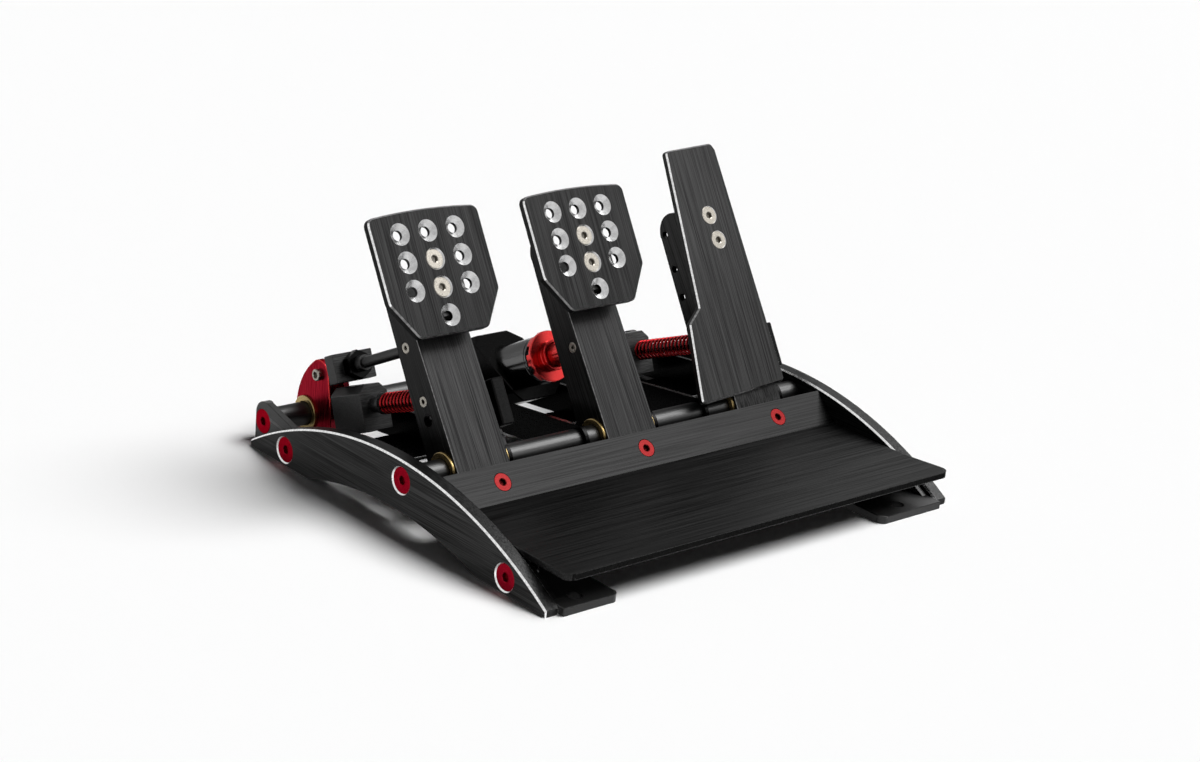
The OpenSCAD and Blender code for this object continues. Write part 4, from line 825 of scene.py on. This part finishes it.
for pedal in PEDALS:
    chamfered(pedal + "_arm", width=0.35, finishes=[arm_brush, dull_edge], pick=long_left(pedal, 12))
    chamfered(pedal + "_bracket", width=0.4, finishes=[sheet_black, sheet_edge], pick=longer(3))
for pedal in ("clutch", "throttle"):
    chamfered(pedal + "_spring_block", width=0.4, finishes=[block_black, block_black], pick=longer(4))
    chamfered(pedal + "_sensor", width=0.8, finishes=[grained_plastic, grained_plastic])
for pedal in ("clutch", "brake"):
    chamfered(pedal + "_pad_spacer", width=0.5, finishes=[block_black, block_black], pick=longer(4))
for pedal in ("brake", "throttle"):
    chamfered(pedal + "_buzzer", width=0.8, finishes=[grained_plastic, grained_plastic])
for corner in ("front_left", "front_right", "rear_left", "rear_right"):
    chamfered(corner + "_foot", width=0.5, finishes=[foot_brush, sheet_edge], pick=longer(2))


def heel_shade_by_face(normal):
    """The heel plate's flat, its ramp or its front edge, by the way each face is turned: the ramp and the front
    face get darker finishes than the flat, as painted shade.
    """
    if normal.y < -STEEP:
        return HEEL_SHADED_FRONT
    return HEEL_SHADED_RAMP if normal.y < -SLANTED and normal.z > SLANTED else HEEL_FLAT


# Painted shade: the heel plate's ramp and its front face take darker finishes than its flat, picked by the way
# each face is turned
heel_finishes = [heel_brush, ramp_shaded_brush, sheet_black, heel_edge]
chamfered("heel_plate", width=0.4, finishes=heel_finishes, pick=longer(2), face_slot=heel_shade_by_face)
chamfered("clutch_trunnion", width=0.5, finishes=[block_black, block_black], pick=longer(4))
chamfered("brake_housing", width=0.6, finishes=[gloss_black, gloss_black], pick=longer(5))
for side in ("left", "right"):
    chamfered("clutch_lever_" + side, width=0.4, finishes=[red_brush, red_satin])


# Springs
SPRING_D = 13.5
WIRE_D = 1.7
COLLAR_END = 9
SEAT_GAP = 0.3


def spring(pedal, seat, turns):
    node = pedal + "_spring"
    radius = (SPRING_D - WIRE_D) / 2
    start = COLLAR_END + SEAT_GAP + WIRE_D / 2
    length = seat - COLLAR_END - 2 * SEAT_GAP - WIRE_D
    mesh = run_tree(coil_tree, {
        "Turns": turns, "Coil radius": radius, "Length": length, "Wire radius": WIRE_D / 2,
        "Finish": red_wire})
    pin = PIVOT[pedal + "_guide_swing"]
    far = PIVOT[pedal + "_strut_swing"]
    place = strut_place(pin, far)
    mesh.transform(place @ Matrix.Translation((0, start, 0)) @ ALONG_Y)
    piece = show(node + "_coil", crisp(mesh, COIL_SHARP), node)
    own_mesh(piece)


spring("clutch", seat=64.5, turns=15.0)
spring("throttle", seat=84, turns=20.0)


# Red screws of the frame
def frame_screws():
    head_sink = (RIM_D - M8_HEAD) / 2
    half = INNER_W / 2 + PLATE_T - head_sink
    sites = []
    for side in (-1, 1):
        sites += sites_at(frame_place(), [(side * half, y, z) for y, z in PLATE_SCREWS], (side, 0, 0))
    length = PLATE_T - head_sink + FOOT_T + CLINCH_T
    shape = sunk_screw(M8_HEAD, M8, length, M8_SOCKET)
    fasteners("plate_bolts", shape, sites, red_screw, "side_plate_screws")
    shaft = PIVOT["clutch_strut_swing"]
    sites = []
    for side in (-1, 1):
        sites.append((Vector((side * INNER_W / 2 * MM, shaft.y, shaft.z)), Vector((side, 0, 0))))
    shape = sunk_screw(SHAFT_SCREW_HEAD, M8, SHAFT_SCREW_LEN, M8_SOCKET)
    fasteners("shaft_bolts", shape, sites, red_screw, "rear_shaft_screws")
    normal = Vector((0, -math.sin(HEEL_ANGLE), math.cos(HEEL_ANGLE)))
    along = Vector((0, math.cos(HEEL_ANGLE), math.sin(HEEL_ANGLE))) * HEEL_SCREW_AT
    heel = frame_place() @ (Vector((0, HEEL_BEND, HEEL_Z)) + along)
    sites = []
    for pedal in PEDALS:
        x = PIVOT[pedal + "_press"].x + HEEL_SCREW_SHIFT[pedal] * MM
        sites.append((Vector((x, heel.y, heel.z)), normal))
    # The heel screws take the darker red, which is painted shade
    shape = sunk_screw(HEEL_SCREW_HEAD, M6, HEEL_T + SHEET_T, M6_SOCKET)
    fasteners("heel_bolts", shape, sites, red_heel_shaded, "heel_plate_screws")


frame_screws()


# Bushes and pins, set with their outer ends outwards
def bush(sleeve):
    """A flanged bush: its flange stands on height 0 and its sleeve reaches below."""
    bore = SHAFT_D / 2 + CLEARANCE
    flange = BUSH_FLANGE_D / 2
    body = BUSH_D / 2
    top = BUSH_FLANGE_T
    return turned([
        (-sleeve, bore), (top - SMALL_BEVEL, bore), (top, bore + SMALL_BEVEL), (top, flange - SMALL_BEVEL),
        (top - SMALL_BEVEL, flange), (0, flange), (0, body), (SLEEVE_CUT - sleeve, body),
        (-sleeve, body - SLEEVE_CUT)], closed=True)


def arm_pin():
    """A cross pin with a hexagon socket in its outer end at height 0."""
    radius = PIN_D / 2
    edge = radius - SMALL_BEVEL
    body = [(-ARM_W, 0), (-ARM_W, edge), (SMALL_BEVEL - ARM_W, radius), (-SMALL_BEVEL, radius), (0, edge)]
    return turned(body + hex_socket(PIN_SOCKET, rim=SMALL_BEVEL, dip=0.2, depth=2.2, tip=2.6))


def pedal_fittings(pedal):
    place = arm_place(pedal)
    sites = []
    for side in (-1, 1):
        sites += sites_at(place, [(side * ARM_W / 2, 0, 0)], (side, 0, 0))
    fasteners(pedal + "_bush_pair", bush(ARM_WALL), sites, bronze, pedal + "_bushes")
    pins = sites_at(place, [(-ARM_W / 2, back, along) for back, along in ARM_PINS[pedal]], (-1, 0, 0))
    node = "clutch_pins" if pedal == "clutch" else pedal + "_arm_pin"
    fasteners(pedal + "_cross_pins", arm_pin(), pins, stainless, node)


def sensor_fittings(pedal):
    sites = sites_at(arm_place(pedal), [(SENSOR_FACE, 0, z) for z in SENSOR_SCREWS], (1, 0, 0))
    shape = cap_screw(head=5, height=2.5, socket=2.5)
    fasteners(pedal + "_sensor_bolts", shape, sites, stainless, pedal + "_sensor_screws")


def lever_fittings():
    shaft = Matrix.Translation(PIVOT["clutch_lever_swing"]) @ Matrix.Scale(MM, 4)
    sites = []
    for side in (-1, 1):
        sites += sites_at(shaft, [(side * LEVER_OUT, 0, 0)], (side, 0, 0))
    fasteners("lever_bush_pair", bush(LEVER_T), sites, bronze, "clutch_lever_bushes")
    low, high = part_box("clutch_lever_pin")
    middle = (Vector(low) + Vector(high)) / 2
    far = -LEVER_PIN_LEN
    near_cap = -LEVER_PIN_CAP
    far_cap = far + LEVER_PIN_CAP
    radius = LEVER_PIN_R
    body = [
        (far, 0), (far, radius - SMALL_BEVEL), (far + SMALL_BEVEL, radius), (far_cap, radius),
        (far_cap, LEVER_PIN_NECK_R), (near_cap, LEVER_PIN_NECK_R), (near_cap, radius),
        (-LEVER_PIN_CUT, radius), (0, radius - LEVER_PIN_CUT)]
    pin = turned(body + hex_socket(M6_SOCKET, rim=0.6, dip=0.2, depth=1.8, tip=2))
    site = (Vector((low[0], middle.y, middle.z)), Vector((-1, 0, 0)))
    fasteners("lever_cross_pin", pin, [site], stainless, "clutch_lever_pin")


for pedal in PEDALS:
    pedal_fittings(pedal)
sensor_fittings("clutch")
sensor_fittings("throttle")
lever_fittings()


# Turned pieces of the struts, drawn from their pin along the strut
def eye(diameter, width):
    """A ring round a cross pin, across the strut."""
    end = width / 2
    cut = end - EYE_CUT
    stations = [(-end, EYE_CUT, FACE), (-cut, 0, FACE), (cut, 0, FACE), (end, EYE_CUT, FACE)]
    bore = PIN_D / 2 + CLEARANCE
    hole = ((0, 0), [(-end, bore, FACE), (end, bore, FACE)])
    return plate(circle((0, 0), diameter / 2), stations, [hole]), YZ_SHEET


def along_strut(stations, steps=48, closed=False):
    return turned(stations, steps, closed), ALONG_Y


def brake_piece(name, parts, material, node):
    place = strut_place(BRAKE_PIN, BRAKE_FAR)
    return drawn(name, [(bm, place @ lay) for bm, lay in parts], [material], node)


def notched(radius, depth, count, width):
    """Radius of a ring with notches round it, by angle."""
    def reach(a):
        gap = a % (2 * math.pi / count) - math.pi / count
        return radius - depth if abs(gap) * radius < width / 2 else radius
    return reach


def clutch_rod():
    low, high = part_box("clutch_lever_pin")
    pin = PIVOT["clutch_rod_swing"]
    far = Vector((pin.x, (low[1] + high[1]) / 2, (low[2] + high[2]) / 2))
    place = strut_place(pin, far)
    nut_at = TRUNNION_AT - NUT_T
    collar = nut_at - ROD_COLLAR_W
    collar_edge = ROD_COLLAR_R - ROD_COLLAR_CUT
    end = TRUNNION_AT + ROD_PAST
    rod = along_strut([
        (ROD_START, 0), (ROD_START, ROD_R), (collar, ROD_R), (collar, collar_edge),
        (collar + ROD_COLLAR_CUT, ROD_COLLAR_R), (nut_at - ROD_COLLAR_CUT, ROD_COLLAR_R),
        (nut_at, collar_edge), (nut_at, ROD_R), (end, ROD_R), (end, 0)])
    parts = [(bm, place @ lay) for bm, lay in (eye(diameter=14, width=12), rod)]
    drawn("clutch_rod_shape", parts, [oxide_black], "clutch_push_rod")
    flats = hexagon(NUT_FLATS)

    def crown(a):
        return min(flats(a), NUT_FLATS / 2 + NUT_CROWN)

    nut, lay = along_strut([
        (nut_at, NUT_BORE_R), (nut_at, crown), (nut_at + NUT_CUT, flats), (TRUNNION_AT - NUT_CUT, flats),
        (TRUNNION_AT, crown), (TRUNNION_AT, NUT_BORE_R)], closed=True)
    drawn("clutch_nut_shape", [(nut, place @ lay)], [gloss_black], "clutch_rod_nut")


def brake_adjuster():
    """A ring with notches behind its lip, on a hub with a groove."""
    teeth = notched(RING_R, depth=2.5, count=8, width=5)
    rear = RING_END - CLEARANCE
    hub = [(HUB_AT, HUB_BORE_R), (HUB_AT, HUB_R - SMALL_BEVEL), (HUB_AT + SMALL_BEVEL, HUB_R)]
    line = groove(HUB_AT + 2.4, HUB_AT + 3.7, HUB_R, depth=0.45, slope=0.3)
    ring = [
        (RING_AT, HUB_R), (RING_AT, RING_R - RING_CUT), (RING_AT + RING_CUT, RING_R),
        (RING_AT + RING_LIP, RING_R), (RING_AT + RING_LIP, teeth), (rear - RING_CUT, teeth),
        (rear, lambda a: teeth(a) - RING_CUT), (rear, HUB_BORE_R)]
    shape = along_strut(hub + line + ring, steps=144, closed=True)
    brake_piece("brake_adjuster_shape", [shape], red_satin, "brake_adjuster")


def brake_cylinder():
    """A tube with a narrow neck and a groove behind its lip."""
    lip = RING_END + CYL_NECK_LEN
    front = [
        (RING_END, CYL_BORE_R), (RING_END, CYL_NECK_R), (lip, CYL_NECK_R), (lip, CYL_R - CYL_LIP_CUT),
        (lip + CYL_LIP_CUT, CYL_R)]
    line = groove(lip + 1.6, lip + 2.4, CYL_R, depth=0.35, slope=0.2)
    rear = [(CYL_END - SMALL_BEVEL, CYL_R), (CYL_END, CYL_R - SMALL_BEVEL), (CYL_END, CYL_BORE_R)]
    shape = along_strut(front + line + rear, steps=64, closed=True)
    brake_piece("brake_cylinder_shape", [shape], tube_black, "brake_cylinder")


def brake_piston():
    """A rod with an eye at its pin and a wide head inside the cylinder."""
    end = PISTON_HEAD_AT + PISTON_HEAD_W
    head_edge = PISTON_HEAD_R - SMALL_BEVEL
    shape = along_strut([
        (0, 0), (0, PISTON_R - PISTON_CUT), (PISTON_CUT, PISTON_R), (PISTON_HEAD_AT, PISTON_R),
        (PISTON_HEAD_AT, head_edge), (PISTON_HEAD_AT + SMALL_BEVEL, PISTON_HEAD_R),
        (end - SMALL_BEVEL, PISTON_HEAD_R), (end, head_edge), (end, 0)])
    parts = [eye(diameter=10, width=14), shape]
    brake_piece("brake_piston_shape", parts, red_satin, "brake_piston")


def brake_rubbers():
    """Rings between the piston's head and the load cell, which flatten as the brake is pressed."""
    first = PISTON_HEAD_AT + PISTON_HEAD_W + RUBBER_GAP
    last = CELL_AT - RUBBER_GAP
    pitch = (last - first) / RUBBERS
    edge = RUBBER_R - RUBBER_CUT
    rings = []
    for k in range(RUBBERS):
        low = first + k * pitch
        high = low + pitch - RUBBER_GAP
        rings.append(along_strut([
            (low, RUBBER_BORE_R), (low, edge), (low + RUBBER_CUT, RUBBER_R), (high - RUBBER_CUT, RUBBER_R),
            (high, edge), (high, RUBBER_BORE_R)], closed=True))
    rubber = brake_piece("brake_rubber_rings", rings, ring_rubber, "brake_rubbers")
    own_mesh(rubber)


clutch_rod()
brake_adjuster()
brake_cylinder()
brake_piston()
brake_rubbers()

# Nodes that keep their own mesh take a finish
KEPT = {
    "pedal_axle": oxide_black, "rear_shaft": oxide_black, "foot_clinch_nuts": dark_steel,
    "clutch_guide_rod": dark_steel, "throttle_guide_rod": dark_steel, "brake_load_cell": stainless,
}
for node, material in KEPT.items():
    mesh = frame["nodes"][node].data
    mesh.materials.clear()
    mesh.materials.append(material)


# Floor, light and camera
WORLD_LIGHT = 0.02
FLOOR_TONE = 0.95
FLOOR_GLOW = 0.35
FLOOR_REACH = 6


def either(tree, first, second):
    """One where either of two switches is one."""
    node = add(tree, "ShaderNodeMath", operation="MAXIMUM")
    tree.links.new(first, node.inputs[0])
    tree.links.new(second, node.inputs[1])
    return node.outputs[0]


def switched(tree, switch, off, on):
    """The first value where a switch is zero, the second where it is one."""
    node = add(tree, "ShaderNodeMapRange")
    node.inputs["To Min"].default_value = off
    node.inputs["To Max"].default_value = on
    tree.links.new(switch, node.inputs["Value"])
    return node.outputs["Result"]


def backdrop():
    """A world that is white where it is seen or mirrored, and hardly gives light."""
    scene = bpy.context.scene
    scene.view_settings.view_transform = "Standard"
    world = bpy.data.worlds.new("studio")
    scene.world = world
    world.use_nodes = True
    tree = world.node_tree
    back = tree.nodes["Background"]
    rays = add(tree, "ShaderNodeLightPath").outputs
    direct = either(tree, rays["Is Camera Ray"], rays["Is Glossy Ray"])
    seen = either(tree, direct, rays["Is Transmission Ray"])
    back.inputs["Color"].default_value = (1, 1, 1, 1)
    tree.links.new(switched(tree, seen, WORLD_LIGHT, 1.0), back.inputs["Strength"])


def paper_floor():
    """A pale floor that keeps the shadow and is lighter where it is mirrored."""
    mesh = bpy.data.meshes.new("floor")
    reach = FLOOR_REACH
    mesh.from_pydata(
        [(-reach, -reach, 0), (reach, -reach, 0), (reach, reach, 0), (-reach, reach, 0)], [], [(0, 1, 2, 3)])
    floor = bpy.data.objects.new("floor", mesh)
    bpy.context.scene.collection.objects.link(floor)
    paper = bpy.data.materials.new("paper")
    paper.use_nodes = True
    tree = paper.node_tree
    shader = tree.nodes["Principled BSDF"]
    shader.inputs["Base Color"].default_value = (*grey(FLOOR_TONE), 1)
    shader.inputs["Roughness"].default_value = 0.9
    shader.inputs["Specular IOR Level"].default_value = 0.1
    rays = add(tree, "ShaderNodeLightPath").outputs
    mirrored = either(tree, rays["Is Glossy Ray"], rays["Is Transmission Ray"])
    shader.inputs["Emission Color"].default_value = (1, 1, 1, 1)
    tree.links.new(switched(tree, mirrored, 0, FLOOR_GLOW), shader.inputs["Emission Strength"])
    mesh.materials.append(paper)


def far_light(name, aim, spread, strength):
    """A wide soft light from far off, so that the floor is lit evenly."""
    data = bpy.data.lights.new(name, "SUN")
    data.angle = spread
    data.energy = strength
    lamp = bpy.data.objects.new(name, data)
    lamp.matrix_world = Vector(aim).to_track_quat("-Z", "Y").to_matrix().to_4x4()
    bpy.context.scene.collection.objects.link(lamp)
    return lamp


def near_light(name, place, target, size, power):
    """A square soft light."""
    data = bpy.data.lights.new(name, "AREA")
    data.size = size
    data.energy = power
    lamp = bpy.data.objects.new(name, data)
    turn = (Vector(target) - Vector(place)).to_track_quat("-Z", "Y").to_matrix().to_4x4()
    lamp.matrix_world = Matrix.Translation(place) @ turn
    bpy.context.scene.collection.objects.link(lamp)
    return lamp


def lights():
    """One key light, and two that only the metal mirrors, so that the floor has one shadow."""
    far_light("key", aim=(-0.6, 0.35, -1), spread=math.radians(40), strength=3.85)
    front = far_light("front", aim=(-0.5, 0.6, -0.75), spread=math.radians(60), strength=0.6)
    side = near_light("side", place=(0.42, 0.06, 0.29), target=(0.161, -0.1, 0.03), size=0.2, power=0.3)
    for lamp in (front, side):
        lamp.visible_diffuse = False
        lamp.visible_camera = False


# Solved from the photograph: the camera's place, its three angles and its focal length in pixels
CAMERA_PLACE = (-0.9955, -1.0427, 0.5767)
CAMERA_AZIMUTH = math.radians(43.57)
CAMERA_ELEVATION = math.radians(19.71)
CAMERA_ROLL = math.radians(5.95)
FOCAL_PX = 2477.9
IMAGE_W = 1200
SENSOR_W = 36


def camera():
    ahead = Vector((
        math.sin(CAMERA_AZIMUTH) * math.cos(CAMERA_ELEVATION),
        math.cos(CAMERA_AZIMUTH) * math.cos(CAMERA_ELEVATION),
        -math.sin(CAMERA_ELEVATION)))
    level = Vector((math.cos(CAMERA_AZIMUTH), -math.sin(CAMERA_AZIMUTH), 0))
    upright = level.cross(ahead)
    right = level * math.cos(CAMERA_ROLL) + upright * math.sin(CAMERA_ROLL)
    up = right.cross(ahead)
    data = bpy.data.cameras.new("camera")
    data.sensor_width = SENSOR_W
    data.lens = FOCAL_PX / IMAGE_W * SENSOR_W
    data.clip_start = 0.01
    seat = bpy.data.objects.new("camera", data)
    turn = Matrix((right, up, -ahead)).transposed().to_4x4()
    seat.matrix_world = Matrix.Translation(CAMERA_PLACE) @ turn
    bpy.context.scene.collection.objects.link(seat)
    bpy.context.scene.camera = seat


backdrop()
paper_floor()
lights()
camera()
